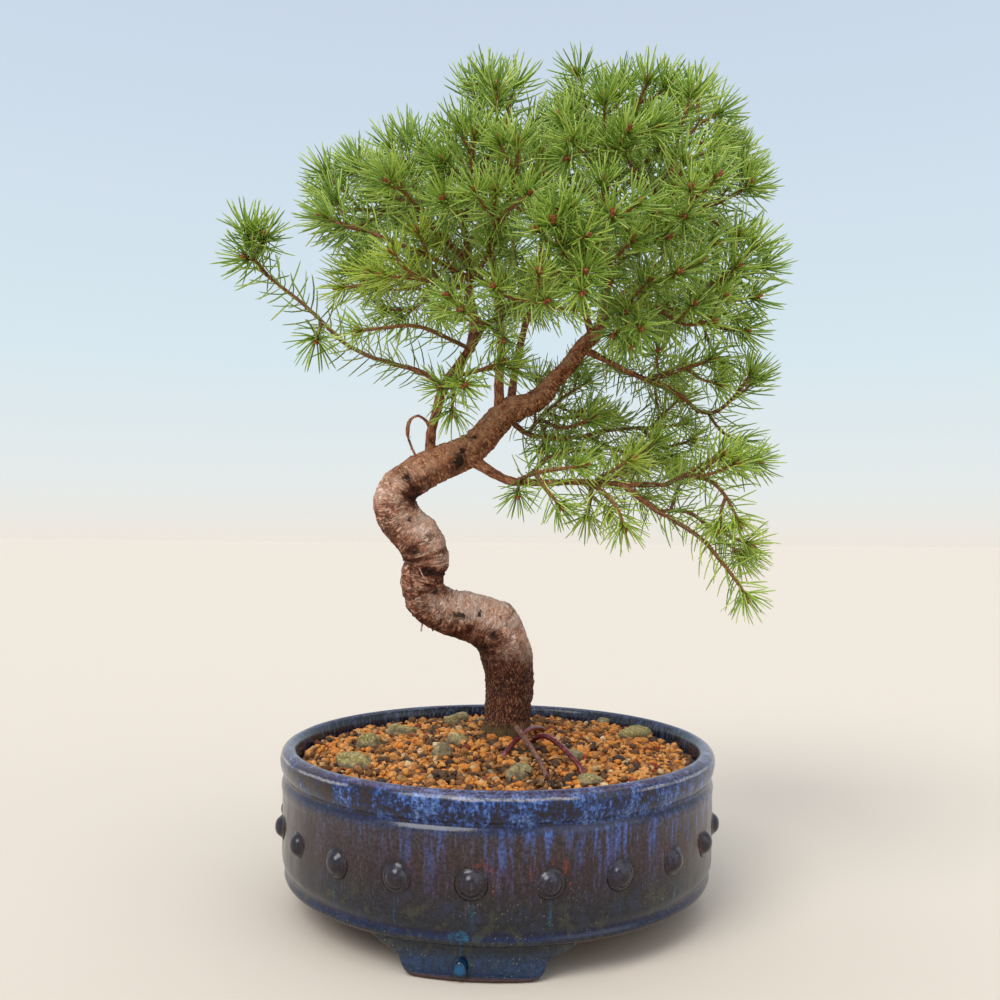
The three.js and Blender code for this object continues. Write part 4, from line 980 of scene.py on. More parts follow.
def limb_material(look):
    """The younger bark of the limbs, orange brown with a grey bloom."""
    m = Maker("limb_bark", Specular_IOR_Level=0.25)
    along = m.attribute("bark")
    point = m.point()
    fibre = m.noise(m.scaled(along, (1, 1, 0.35)), 0.8, 4, 0.7)
    cloud = m.noise(point, 6, 2, 0.5)
    colour = m.ramp(fibre * 0.7 + cloud * 0.3, (0.36, rgb(58, 30, 20)), (0.45, rgb(112, 64, 42)),
                    (0.54, look.limb), (0.64, rgb(196, 148, 110)))
    pegs = m.fade(m.cells(m.scaled(along, (1, 1, 0.7)), 1.3), 0.3, 0.12)
    colour = m.blend(pegs * 0.4, colour, rgb(196, 154, 112))
    return m.finish(Base_Color=colour, Roughness=0.75, Normal=m.bump(fibre + pegs * 0.5, 0.4, 0.8))


def needle_material(look):
    """Waxy needles, each of its own tone, paler at the tip and yellow where the shoot is young."""
    m = Maker("spruce_needles", Specular_IOR_Level=0.4)
    tone, along, youth = m.split(m.attribute("needle"))
    fresh = m.ramp(tone, (0.0, look.shade), (0.4, look.green), (0.75, rgb(168, 190, 76)),
                   (1.0, rgb(200, 214, 116)))
    pale = m.ramp(tone, (0.0, rgb(112, 136, 44)), (0.5, look.young), (1.0, rgb(190, 202, 92)))
    colour = m.blend(m.fade(youth, 0.2, 0.9), fresh, pale)
    old = m.ramp(tone, (0.0, rgb(84, 92, 38)), (0.6, rgb(132, 136, 54)), (1.0, rgb(160, 148, 74)))
    colour = m.blend(m.fade(youth, -0.1, -0.9) * 0.75, colour, old)
    colour = m.blend(m.fade(along, 0.55, 1.0) * 0.35, colour, rgb(178, 196, 104))
    colour = m.blend(m.fade(along, 0.14, 0.0) * 0.5, colour, rgb(150, 160, 84))
    lines = m.noise(m.point(), 0.5, 2, 0.5)
    rough = 0.36 + lines * 0.16
    return m.finish(Base_Color=colour, Roughness=rough)


def twig_material(look):
    """Orange brown young twigs, ridged between their leaf pegs."""
    m = Maker("spruce_twigs", Specular_IOR_Level=0.3)
    along, youth = m.split(m.attribute("needle"))[1:]
    point = m.point()
    grain = m.noise(point, 0.7, 4, 0.7)
    old = m.ramp(grain, (0.35, rgb(62, 36, 24)), (0.55, rgb(124, 84, 58)), (0.7, rgb(184, 142, 106)))
    young = m.ramp(grain, (0.35, rgb(84, 42, 24)), (0.55, look.twig), (0.7, rgb(190, 132, 84)))
    colour = m.blend(m.fade(along, 0.1, 0.6), old, young)
    colour = m.blend(youth * 0.4, colour, rgb(176, 160, 80))
    return m.finish(Base_Color=colour, Roughness=0.62, Normal=m.bump(grain, 0.25, 0.7))


def bud_material(look):
    """Red brown buds with overlapping scales."""
    m = Maker("spruce_buds", Specular_IOR_Level=0.35)
    point = m.point()
    scales = m.cells(point, 0.7)
    colour = m.ramp(scales, (0.05, rgb(214, 136, 84)), (0.4, look.bud), (0.8, rgb(120, 62, 38)))
    return m.finish(Base_Color=colour, Roughness=0.5, Normal=m.bump(scales, -0.3, 0.8))


def wire_material():
    """Copper wire under a glossy burgundy coat, rubbed in patches."""
    m = Maker("coated_wire", Metallic=0.35, Specular_IOR_Level=0.5)
    point = m.point()
    rub = m.noise(point, 1.6, 4, 0.65)
    colour = m.ramp(rub, (0.35, rgb(70, 22, 26)), (0.55, rgb(112, 40, 42)), (0.72, rgb(158, 84, 74)))
    rough = 0.26 + 0.24 * rub
    return m.finish(Base_Color=colour, Roughness=rough, Normal=m.bump(rub, 0.15, 0.4))


def stick_material():
    """Dull, weathered wood with a fine grain."""
    m = Maker("weathered_stick", Specular_IOR_Level=0.2)
    point = m.point()
    grain = m.noise(m.point((1, 0.4, 0.6)), 0.7, 4, 0.7)
    colour = m.ramp(grain, (0.32, rgb(58, 38, 32)), (0.52, rgb(112, 78, 66)), (0.7, rgb(150, 116, 100)))
    return m.finish(Base_Color=colour, Roughness=0.85,
                    Normal=m.bump(grain + m.noise(point, 0.4, 2) * 0.5, 0.3, 0.8))


def root_material():
    """The dark, fibrous skin of the thin roots."""
    m = Maker("thin_roots", Specular_IOR_Level=0.2)
    fibre = m.noise(m.point(), 0.8, 3, 0.7)
    colour = m.ramp(fibre, (0.35, rgb(40, 22, 18)), (0.65, rgb(92, 60, 48)))
    return m.finish(Base_Color=colour, Roughness=0.8, Normal=m.bump(fibre, 0.2, 0.6))


def screen_material():
    """The dark moulded plastic of the drain screens."""
    m = Maker("screen_plastic", Specular_IOR_Level=0.4)
    haze = m.noise(m.point(), 2.2, 3, 0.6)
    colour = m.ramp(haze, (0.3, rgb(26, 26, 28)), (0.7, rgb(48, 48, 50)))
    return m.finish(Base_Color=colour, Roughness=0.45 + haze * 0.2, Normal=m.bump(haze, 0.08, 0.4))


def floor_material(look):
    """A pale, matt floor, a little cloudy."""
    m = Maker("pale_floor", Specular_IOR_Level=0.2)
    haze = m.noise(m.point(), 60, 3, 0.5)
    colour = m.blend(haze * 0.2, look.floor, [0.94 * part for part in look.floor])
    return m.finish(Base_Color=colour, Roughness=0.8)


# Settings


def length(name, description, millimetres):
    return FloatProperty(name=name, description=description, default=millimetres * MM, min=0.0,
                         unit="LENGTH", precision=4)


def tint(name, description, red, green, blue):
    return FloatVectorProperty(name=name, description=description, default=rgb(red, green, blue),
                               subtype="COLOR", min=0.0, max=1.0)


class BonsaiPotLook(bpy.types.PropertyGroup):
    cobalt: tint("Cobalt", "Bright mottle of the rim", 52, 86, 150)
    streak: tint("Streaks", "Blue runs down the wall", 70, 82, 136)
    turquoise: tint("Turquoise", "Thick runs under the studs", 26, 82, 108)
    flame: tint("Flecks", "Red flecks beside the studs", 134, 54, 40)


class BonsaiSoilLook(bpy.types.PropertyGroup):
    grain: length("Grain", "Usual size of a grain", 2.9)
    orange: tint("Orange", "Brightest grains", 204, 126, 54)
    tan: tint("Tan", "Most grains", 214, 152, 86)
    brown: tint("Brown", "Dull grains", 114, 78, 46)
    pale: tint("Pale", "Few pale grains", 206, 182, 140)


class BonsaiWoodLook(bpy.types.PropertyGroup):
    relief: length("Relief", "Height of the bark's lumps", 0.7)
    bark: tint("Bark", "Upper bark of the trunk", 233, 184, 156)
    base: tint("Base", "Bark of the trunk's foot", 66, 25, 15)
    # Wounds is also the colour of the painted shade in the trunk's creases
    wound: tint("Wounds", "Dark scars and knots", 44, 27, 21)
    limb: tint("Limbs", "Bark of the limbs", 156, 102, 68)


class BonsaiFoliageLook(bpy.types.PropertyGroup):
    needle: length("Needle length", "Length of a full needle", 14.6)
    width: length("Needle width", "Thickness of a needle", 0.7)
    spacing: length("Needle spacing", "Step along the twig from one needle to the next", 0.8)
    shoots: length("Shoot spacing", "Step along a stem from one side shoot to the next", 12.5)
    reach: length("Shoot length", "Length of a long side shoot", 29)
    green: tint("Green", "Most needles", 136, 167, 56)
    shade: tint("Deep green", "Darkest needles", 88, 122, 44)
    young: tint("Young green", "Needles of young shoots", 186, 206, 68)
    twig: tint("Twig", "Young twigs", 142, 84, 48)
    bud: tint("Bud", "Winter buds", 164, 90, 56)


class BonsaiStageLook(bpy.types.PropertyGroup):
    floor: tint("Floor", "Colour of the floor", 202, 189, 173)
    ground: tint("Low light", "Colour of the light from below the horizon", 238, 232, 222)
    sky: tint("High light", "Colour of the light from above", 200, 214, 232)
    key: FloatProperty(name="Key light", description="Strength of the main light", default=2.1, min=0.0)
    around: FloatProperty(name="Light all round", description="Strength of the light all round",
                          default=1.0, min=0.0)


# Pieces


def smooth_outline(points, spacing):
    """A rounded outline through (radius, height) points."""
    line = Line([Vector((radius, 0, height)) for radius, height in points], spacing)
    return [(place.x, place.z) for place in line.places]


# The pot's wall from its foot, up the outside, over the lip and down the inside: (radius, height)
POT_OUTLINE = [
    (83.6, 12.0), (85.6, 12.0), (86.9, 12.5), (87.5, 13.4), (87.5, 14.3), (87.0, 15.4), (86.9, 16.5),
    (87.6, 18.0), (88.3, 20), (88.6, 30), (88.9, 40), (89.0, 46.5), (89.3, 49.0), (88.9, 50.9),
    (87.8, 52.6), (88.6, 54.0), (89.5, 56.0), (90.0, 59.5), (89.5, 61.7), (88.0, 63.3), (86.0, 63.9),
    (84.3, 63.1), (83.3, 61.0), (82.9, 56), (82.4, 44), (82.2, 30),
]


def glaze_relief(point):
    """How far the glaze stands out: slow waves, and long runs that thicken downwards."""
    waves = noise.noise(point / 14) * 0.22 + noise.noise(point / 5) * 0.08
    stretched = Vector((point.x / 3.2, point.y / 3.2, point.z / 22))
    runs = max(0.0, noise.noise(stretched)) * 0.3 * fade(50, 42, point.z) * fade(14, 20, point.z)
    return waves + runs


def build_pot_wall(bm):
    """The turned wall with the waves of its glaze, its lining and its floor."""
    made = turned(bm, smooth_outline(POT_OUTLINE, 0.95), WALL_STEPS)
    for vert in made:
        out = Vector((vert.co.x, vert.co.y, 0)).normalized()
        outside = math.hypot(vert.co.x, vert.co.y) > 85
        facing = fade(12, 14, vert.co.z) if outside else -0.4 * fade(30, 34, vert.co.z)
        vert.co += out * glaze_relief(vert.co) * facing
    turned(bm, [POT_OUTLINE[-1], (FLOOR_REACH, FLOOR_TOP)], WALL_STEPS)
    build_floor(bm)
    bmesh.ops.remove_doubles(bm, verts=bm.verts, dist=0.02)


def build_floor(bm):
    """The floor of the pot, with its two drain holes."""
    holes = []
    for height, reach in ((FLOOR_UNDERSIDE, POT_OUTLINE[0][0]), (FLOOR_TOP, FLOOR_REACH)):
        loops = []
        for across, radius, steps in ((0, reach, WALL_STEPS), (-DRAIN_OFFSET, DRAIN_RADIUS, DRAIN_STEPS),
                                      (DRAIN_OFFSET, DRAIN_RADIUS, DRAIN_STEPS)):
            place = Matrix.Translation((across, 0, height))
            ring = bmesh.ops.create_circle(bm, cap_ends=False, radius=radius, segments=steps, matrix=place)
            loops.append(edges_at(ring["verts"]))
        bmesh.ops.triangle_fill(bm, use_beauty=True, use_dissolve=False, edges=sum(loops, []))
        holes.append(loops[1:])
    for lower, upper in zip(*holes):
        bmesh.ops.bridge_loops(bm, edges=lower + upper)


# Half of a stud from its top to its buried skirt: (radius, share of its height)
STUD_DOME = [
    (0, 1), (0.8, 0.985), (1.6, 0.93), (2.4, 0.82), (3.1, 0.65), (3.6, 0.46), (4.05, 0.26), (4.5, 0.12),
    (5.1, 0.03), (5.9, -0.1),
]


def build_studs(bm):
    """A ring of glazed domes whose skirts run into the wall."""
    for index in range(STUDS):
        azimuth = FRONT + 2 * math.pi * index / STUDS
        out = Vector((math.cos(azimuth), math.sin(azimuth), 0))
        up = Vector((0, 0, 1))
        place = basis(out * STUD_SEAT + up * STUD_HEIGHT, up.cross(out), up, out)
        outline = [(radius, share * STUD_PROUD) for radius, share in STUD_DOME]
        dome = turned(bm, outline + [(0, outline[-1][1])], STUD_STEPS, place)
        bmesh.ops.remove_doubles(bm, verts=dome, dist=0.001)


# Half of a foot's front, (half width, height): a shoulder, a step and the rounded pad
FOOT_FRONT = [
    (36.5, 13.4), (35.6, 12.3), (34.4, 11.2), (32.4, 9.9), (30.0, 8.8), (27.6, 8.0), (25.8, 7.2), (24.9, 6.2),
    (24.5, 5.0), (24.0, 3.4), (23.0, 1.8), (21.6, 0.7), (19.6, 0.1), (15, 0.0), (7.5, 0.0),
]


def build_feet(bm):
    """Three low feet with stepped, rounded ends, bent round the wall."""
    outline = [(-half, height) for half, height in FOOT_FRONT]
    outline += [(0, 0.0)] + [(half, height) for half, height in reversed(FOOT_FRONT)]
    for index in range(FEET):
        azimuth = FRONT + 2 * math.pi * index / FEET
        verts = [bm.verts.new((across, 0, height)) for across, height in outline]
        face = bm.faces.new(verts)
        made = bmesh.ops.extrude_face_region(bm, geom=[face])["geom"]
        bmesh.ops.translate(bm, verts=verts_of(made), vec=(0, FOOT_DEPTH, 0))
        block = set(verts) | set(verts_of(made))
        rims = dict.fromkeys(
            edge for face in bm.faces if block.issuperset(face.verts) and len(face.verts) > 4
            for edge in face.edges if min(vert.co.z for vert in edge.verts) < FOOT_ROUNDED_BELOW)
        before = set(bm.verts) - block
        bmesh.ops.bevel(bm, geom=list(rims), offset=1.5, offset_type="OFFSET", segments=3, profile=0.5,
                        affect="EDGES", material=-1, clamp_overlap=True)
        for vert in bm.verts:
            if vert in before:
                continue
            lean = FOOT_LEAN * (FOOT_TOP - vert.co.z)
            radius = FOOT_RADIUS + FOOT_PROUD - lean - vert.co.y
            turn = azimuth + vert.co.x / FOOT_RADIUS
            vert.co = Vector((radius * math.cos(turn), radius * math.sin(turn), vert.co.z))


def build_drops(bm):
    """A pool in the lower groove, and the pear-shaped drop on the front foot."""
    out = Vector((math.cos(DROPS_AZIMUTH), math.sin(DROPS_AZIMUTH), 0))
    up = Vector((0, 0, 1))
    for height, above, below, tall, proud in DROPS:
        made = bmesh.ops.create_uvsphere(bm, u_segments=20, v_segments=14, radius=1)["verts"]
        for vert in made:
            wide = mix(above, below, fade(0.6, -0.6, vert.co.z))
            vert.co = Vector((vert.co.x * wide, vert.co.y * (proud + 0.6), vert.co.z * tall))
        seat = DROPS_SEAT - 0.02 * (FOOT_TOP - height)
        place = basis(out * seat + up * height, up.cross(out), out, up)
        bmesh.ops.transform(bm, matrix=place, verts=made)


class BONSAI_OT_pot(bpy.types.Operator):
    """Build the glazed drum pot with its studs, feet and drain screens"""

    bl_idname = "bonsai.pot"
    bl_label = "Pot"

    def execute(self, context):
        bm = bmesh.new()
        build_pot_wall(bm)
        build_studs(bm)
        build_feet(bm)
        build_drops(bm)
        for face in bm.faces:
            face.smooth = abs(face.normal.z) < 0.999
        glaze = glaze_material(context.scene.bonsai_pot)
        finish_piece(bm, "glazed_pot", [glaze], ["pot"], recalculate=True)
        plastic = screen_material()
        for name in ("drain_screen_left", "drain_screen_right"):
            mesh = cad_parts[name].data
            mesh.materials.clear()
            mesh.materials.append(plastic)
        return {"FINISHED"}


def chunk_mesh(draw, worn):
    """One grain: an icosahedron with its corners pushed in and out, worn smooth or still angular."""
    bm = bmesh.new()
    layer = bm.verts.layers.float_vector.new("grain")
    made = bmesh.ops.create_icosphere(bm, subdivisions=1, radius=0.5)["verts"]
    stretch = Vector((draw.uniform(0.9, 1.4), draw.uniform(0.75, 1.05), draw.uniform(0.55, 0.95)))
    for vert in made:
        vert.co *= draw.uniform(0.72, 1.15)
        vert.co = vert.co * stretch
        vert[layer] = (0, 0, 0)
    for face in bm.faces:
        face.smooth = worn
    return Template(bm, "grain")


class Template:
    """A small mesh that is planted many times, each time with its own marks."""

    def __init__(self, bm, layer):
        self.mesh = bpy.data.meshes.new(f"{layer}_template")
        bm.to_mesh(self.mesh)
        bm.free()
        self.layer = layer
        self.rest = np.empty(len(self.mesh.vertices) * 3, np.float32)
        self.mesh.vertices.foreach_get("co", self.rest)
        self.marks = np.empty_like(self.rest)
        self.mesh.attributes[layer].data.foreach_get("vector", self.marks)

    def plant(self, bm, matrix, first=None, second=None, third=None):
        """Adds a copy. A mark that isn't given keeps the template's own."""
        marks = self.marks.copy()
        for index, mark in enumerate((first, second, third)):
            if mark is not None:
                marks[index::3] = mark
        self.mesh.attributes[self.layer].data.foreach_set("vector", marks)
        self.mesh.transform(matrix)
        bm.from_mesh(self.mesh)
        self.mesh.vertices.foreach_set("co", self.rest)


def grain_places(draw, pitch):
    """Places over the soil on a loose hexagonal grid."""
    reach = INSIDE - 2.2
    rows = int(2 * reach / (pitch * 0.866)) + 1
    for row in range(rows):
        y = -reach + row * pitch * 0.866
        for column in range(int(2 * reach / pitch) + 1):
            x = -reach + (column + 0.5 * (row % 2)) * pitch
            x += draw.uniform(-0.38, 0.38) * pitch
            shifted = y + draw.uniform(-0.38, 0.38) * pitch
            if math.hypot(x, shifted) < reach:
                yield x, shifted


# Where the soil is darkened: wet patches, and painted shadow of the pot's wall along the front rim: (across,
# down), reach in millimetres
WET_AND_SHADED = [
    ((450, 728), 9), ((474, 738), 8), ((432, 722), 7), ((488, 722), 8), ((532, 748), 9), ((545, 757), 6),
    ((430, 741), 6), ((548, 724), 8), ((519, 768), 6), ((500, 772), 12), ((474, 762), 8), ((448, 778), 10),
    ((546, 782), 12),
]

# The buried part of the bed, from the middle of its underside to its edge: (radius, height)
BED_OUTLINE = [(0, 20.4), (74, 20.4), (81.6, 30), (81.9, 54)]
BED_RINGS = 40
BED_STEPS = 120

# Two layers of grains: how far apart, how deep each grain sinks, size beside the usual grain
GRAIN_LAYERS = ((2.35, 1.3, 1.0), (2.9, -0.15, 0.95))
GRAIN_KINDS = 15
LARGEST_GRAIN = 5.0
ROOM_AT_TRUNK = 10.2


class BONSAI_OT_soil(bpy.types.Operator):
    """Build the soil: the fine bed, its loose grains and the mossy stones"""

    bl_idname = "bonsai.soil"
    bl_label = "Soil"

    def execute(self, context):
        look = context.scene.bonsai_soil
        self.build_bed()
        self.build_grains(look)
        self.build_stones()
        return {"FINISHED"}

    def build_bed(self):
        bm = bmesh.new()
        reach = INSIDE - 0.8
        surface = [(reach * ring / BED_RINGS, SOIL_EDGE) for ring in range(BED_RINGS, -1, -1)]
        turned(bm, BED_OUTLINE + surface, BED_STEPS)
        for vert in bm.verts:
            if vert.co.z > SOIL_EDGE - 0.1:
                lumps = noise.noise(vert.co / 2.6) * 0.7
                vert.co.z = soil_height(vert.co.x, vert.co.y) - 1.6 + lumps
        make_smooth(bm)
        finish_piece(bm, "soil_bed", [bed_material()], ["soil"], recalculate=True)

    def build_grains(self, look):
        draw = random.Random(GRAIN_SEED)
        chunks = [chunk_mesh(draw, number % 5 > 1) for number in range(GRAIN_KINDS)]
        bm = bmesh.new()
        bm.verts.layers.float_vector.new("grain")
        size = look.grain / MM
        trunk = seen(LIMBS["trunk"][1][2])
        wet_and_shaded_places = [(on_soil(*place), reach) for place, reach in WET_AND_SHADED]
        for layer, (pitch, sink, scale) in enumerate(GRAIN_LAYERS):
            for x, y in grain_places(draw, pitch):
                from_trunk = math.hypot(x - trunk.x, y - trunk.y)
                if from_trunk < ROOM_AT_TRUNK or (layer and draw.random() < 0.22):
                    continue
                wet_and_shaded = max(fade(reach, reach * 0.4, math.hypot(x - place.x, y - place.y))
                          for place, reach in wet_and_shaded_places)
                wet_and_shaded = max(wet_and_shaded, fade(17, 11, from_trunk) * 0.8)
                grown = min(LARGEST_GRAIN, size * scale * draw.lognormvariate(0, 0.32))
                tone = draw.random()
                lift = draw.uniform(-0.5, 0.5) + 0.35 * noise.noise(Vector((x, y, 0)) / 7)
                point = Vector((x, y, soil_height(x, y) - sink + lift))
                turn = Matrix.Rotation(draw.uniform(0, 2 * math.pi), 4, "Z")
                tip = Matrix.Rotation(draw.gauss(0, 0.7), 4, "X")
                matrix = Matrix.Translation(point) @ turn @ tip @ Matrix.Scale(grown, 4)
                draw.choice(chunks).plant(bm, matrix, tone, wet_and_shaded * draw.uniform(0.5, 1), 0)
        finish_piece(bm, "soil_grains", [grain_material(look)])

    def build_stones(self):
        bm = bmesh.new()
        layer = bm.verts.layers.float_vector.new("moss")
        for number, ((across, down), long, wide, high, degrees, moss) in enumerate(STONES):
            made = bmesh.ops.create_icosphere(bm, subdivisions=4, radius=0.5)["verts"]
            place = on_soil(across, down)
            turn = Matrix.Rotation(math.radians(degrees), 4, "Z")
            offset = Vector((number * 7.1, number * 3.7, 0))
            for vert in made:
                lump = noise.noise(vert.co * 2.2 + offset) * 0.3 + noise.noise(vert.co * 6 + offset) * 0.09
                flat = noise.voronoi(vert.co * 2.4 + offset)[0][0]
                vert.co *= 1 + lump + 0.16 * (flat - 0.5)
                vert[layer] = (moss * fade(-0.2, 0.35, vert.co.z), 0, 0)
                vert.co = Vector((vert.co.x * long, vert.co.y * wide, vert.co.z * high))
            matrix = Matrix.Translation((place.x, place.y, soil_height(place.x, place.y) + 0.9)) @ turn
            bmesh.ops.transform(bm, matrix=matrix, verts=made)
        make_smooth(bm)
        finish_piece(bm, "mossy_stones", [stone_material()])


class Bark:
    """Marks a swept limb with its straightened coordinates, and raises its bark."""

    def __init__(self, bm, line, relief, knots=(), folds=(), lumps=1.0):
        self.bark = bm.verts.layers.float_vector["bark"]
        self.scar = bm.verts.layers.float_vector["scar"]
        self.line = line
        self.relief = relief
        self.knots = knots
        self.folds = folds
        self.lumps = lumps

    def knot(self, point):
        """How far the knots raise the bark here, how dark they make it, and how near the nearest is."""
        rise, scar, near = 0.0, 0.0, 4.0
        for centre, proud, wide, tall, dark in self.knots:
            gap = (point - centre) / wide
            gap.z /= tall
            away = gap.length
            if away > 3:
                continue
            away *= 1 + 0.5 * noise.noise(point / 1.5) + 0.3 * noise.noise(point / 3.4)
            rise += proud * (math.exp(-((away - 0.95) / 0.4) ** 2) + 0.45 * math.exp(-(away / 1.3) ** 2)
                             - 0.8 * math.exp(-(away / 0.45) ** 2))
            scar = max(scar, dark * math.exp(-(away / 0.75) ** 2))
            near = min(near, away)
        return rise, scar, near

    def __call__(self, ring, distance, place):
        axis = place.translation
        back = place.inverted()
        bend = self.line.at(distance + 5)[1] - self.line.at(distance - 5)[1]
        fold = sum(depth * math.exp(-((distance - centre) / reach) ** 2)
                   for centre, depth, reach in self.folds)
        for vert in ring:
            flat = back @ vert.co
            straight = Vector((flat.x, flat.y, distance))
            out = (vert.co - axis).normalized()
            rise, scar, near = self.knot(vert.co)
            hollow = max(0.0, out.dot(bend))
            lump = noise.noise(vert.co / 7) * self.lumps
            ridge = noise.noise(Vector((straight.x / 1.9, straight.y / 1.9, distance / 6)))
            crease = noise.noise(Vector((straight.x / 8, straight.y / 8, distance / 1.5)))
            plate = noise.noise(vert.co / 1.3 + Vector((7, 3, 5)))
            rise += self.relief * (0.7 * lump + 0.35 * ridge + (0.35 + 0.9 * hollow) * crease + 0.95 * plate)
            rise -= fold * (0.75 + 0.8 * crease)
            # under is painted shade for the bark's colour, partly a moisture stain: where the bark faces
            # down, inside bends and in the folds
            under = fade(0.25, -0.75, out.z) * 0.7 + 0.6 * fade(0.15, 0.8, hollow) + 0.8 * fold
            vert[self.bark] = straight
            vert[self.scar] = (scar, under, near)
            vert.co += out * rise


def collar(radius, extra, reach, whole):
    """A limb's thickness with the swelling where it leaves its parent, drawn in at its end."""
    def thick(share):
        drawn = mix(0.72, 1, fade(0, 7, (1 - share) * whole))
        return radius(share) * (1 + extra * math.exp(-share * whole / reach)) * drawn

    return thick


class BONSAI_OT_wood(bpy.types.Operator):
    """Build the trunk with its knots and bark, and the limbs that leave it"""

    bl_idname = "bonsai.wood"
    bl_label = "Trunk and limbs"

    def execute(self, context):
        look = context.scene.bonsai_wood
        self.build_trunk(look)
        self.build_limbs(look)
        self.build_pegs(context.scene.bonsai_foliage)
        return {"FINISHED"}

    def new_bmesh(self):
        bm = bmesh.new()
        bm.verts.layers.float_vector.new("bark")
        bm.verts.layers.float_vector.new("scar")
        return bm

    def build_trunk(self, look):
        line = LIMB_LINES["trunk"]
        knots = []
        for place, proud, wide, tall, dark in KNOTS:
            distance = line.nearest(seen((*place, 0)))
            for _ in range(2):
                axis = line.at(distance)[0]
                distance = line.nearest(seen((*place, axis.y)))
            axis = line.at(distance)[0]
            radius = LIMB_RADII["trunk"](distance / line.length)
            sideways = seen((*place, axis.y)) - axis
            depth = math.sqrt(max(1.0, radius ** 2 - sideways.length_squared))
            knots.append((seen((*place, axis.y - depth)), proud, wide, tall, dark))
        bm = self.new_bmesh()
        folds = [(line.nearest(seen((*place, 0))), depth, reach) for place, depth, reach in FOLDS]
        bark = Bark(bm, line, look.relief / MM, knots, folds)
        sweep(bm, line, LIMB_RADII["trunk"], 72, 0.85, bark)
        for place, way, thick, long in STUBS:
            self.add_stub(bm, seen(place), Vector(way), thick, long)
        finish_piece(bm, "trunk", [bark_material(look)], ["trunk_and_limbs"], recalculate=True)

    def add_stub(self, bm, start, way, thick, long):
        """A short broken twig on the trunk."""
        way.normalize()
        line = Line([start - way * 2.5, start + way * long * 0.4, start + way * long + Vector((0.3, 0, 0))])
        radius = thick / 2
        sweep(bm, line, lambda share: radius * (1.3 - 0.6 * share), 7, 0.7, Bark(bm, line, 0.12))

    def build_limbs(self, look):
        bm = self.new_bmesh()
        for name, line in BRANCH_LINES.items():
            thick = LIMB_RADII[name](0)
            radius = collar(LIMB_RADII[name], 0.55, 2.2 * thick, line.length)
            sweep(bm, line, radius, 12, 1.6, Bark(bm, line, 0.26, lumps=1.3))
        finish_piece(bm, "limbs", [limb_material(look)], recalculate=True)

    def build_pegs(self, look):
        """The pegs that fallen needles left on the limbs."""
        grower = Grower(look, PEG_SEED, ((), None, peg_mesh(0)), 0)
        for name, line in BRANCH_LINES.items():
            radius = LIMB_RADII[name]
            thin = 0 if radius(0) < 1.8 else 0.35
            grower.pegs(line, max(3.0, thin * line.length), line.length - 1, radius, 0.8)
        finish_piece(grower.bm, "limb_pegs", [twig_material(look)])


class BONSAI_OT_ties(bpy.types.Operator):
    """Build the tie wires, the stick and the thin roots in front of the trunk"""

    bl_idname = "bonsai.ties"
    bl_label = "Wires, stick and roots"

    def execute(self, context):
        coat = wire_material()
        for name, places in WIRES.items():
            bm = bmesh.new()
            line = Line([seen(place) for place in places])
            sweep(bm, line, lambda share: WIRE_RADIUS, 14, 0.9)
            finish_piece(bm, f"{name}_coated", [coat], [name], recalculate=True)
        bm = bmesh.new()
        line = Line([seen(place) for place in STICK])
        sweep(bm, line, lambda share: 1.2 - 0.3 * share, 12, 1)
        for vert in bm.verts:
            lump = vert.co / 2.2
            vert.co += Vector((noise.noise(lump), 0, noise.noise(lump + Vector((9, 0, 0))))) * 0.3
        finish_piece(bm, "stick_weathered", [stick_material()], ["stick"], recalculate=True)
        self.build_roots()
        return {"FINISHED"}

    def build_roots(self):
        """Thin dark roots that curl out of the soil beside the stick."""
        draw = random.Random(ROOT_SEED)
        bm = bmesh.new()
        for across, down in ROOTS:
            start = on_soil(across, down)
            heading = draw.uniform(-2.4, -0.6)
            points = [start - Vector((0, 0, 1.2))]
            for step in range(4):
                heading += draw.uniform(-0.9, 0.9)
                flat = Vector((math.cos(heading), math.sin(heading), 0)) * 3.2
                points.append(points[-1] + flat)
                points[-1].z = soil_height(points[-1].x, points[-1].y) + 1.6 + 1.6 * math.sin(step * 1.3)
            points[-1].z -= 3
            sweep(bm, Line(points), lambda share: 0.34 - 0.12 * share, 6, 0.8)
        finish_piece(bm, "thin_roots", [root_material()], recalculate=True)


# Along a needle: how far up it each ring stands, and its share of the full thickness
NEEDLE_RINGS = [(0.3, 1.0), (0.62, 0.98), (0.9, 0.76), (1.0, 0.1)]
NEEDLE_FOOT = 0.7

# How far the tip of each kind of needle bends aside
NEEDLE_BENDS = (0.1, 0.15, 0.2, 0.26, 0.32, 0.4, 0.0)


def needle_mesh(bend, width):
    """One four-sided needle of unit length that leans towards X as it rises along Z."""
    bm = bmesh.new()
    layer = bm.verts.layers.float_vector.new("needle")
    size = NEEDLE_FOOT
    ring = bmesh.ops.create_circle(bm, cap_ends=True, radius=0.5 * size * width, segments=4)["verts"]
    edges = edges_at(ring)
    place = 0.0
    for height, thick in NEEDLE_RINGS:
        made = bmesh.ops.extrude_edge_only(bm, edges=edges)["geom"]
        verts, edges = verts_of(made), open_edges(made)
        here, there = Vector((bend * place ** 2, 0, place)), Vector((bend * height ** 2, 0, height))
        grow = Matrix.Translation(there) @ Matrix.Scale(thick / size, 4) @ Matrix.Translation(-here)
        bmesh.ops.transform(bm, matrix=grow, verts=verts)
        place, size = height, thick
    bmesh.ops.pointmerge(bm, verts=verts, merge_co=(bend, 0, 1))
    bmesh.ops.recalc_face_normals(bm, faces=bm.faces)
    for vert in bm.verts:
        vert[layer] = (0, vert.co.z, 0)
    make_smooth(bm)
    return Template(bm, "needle")


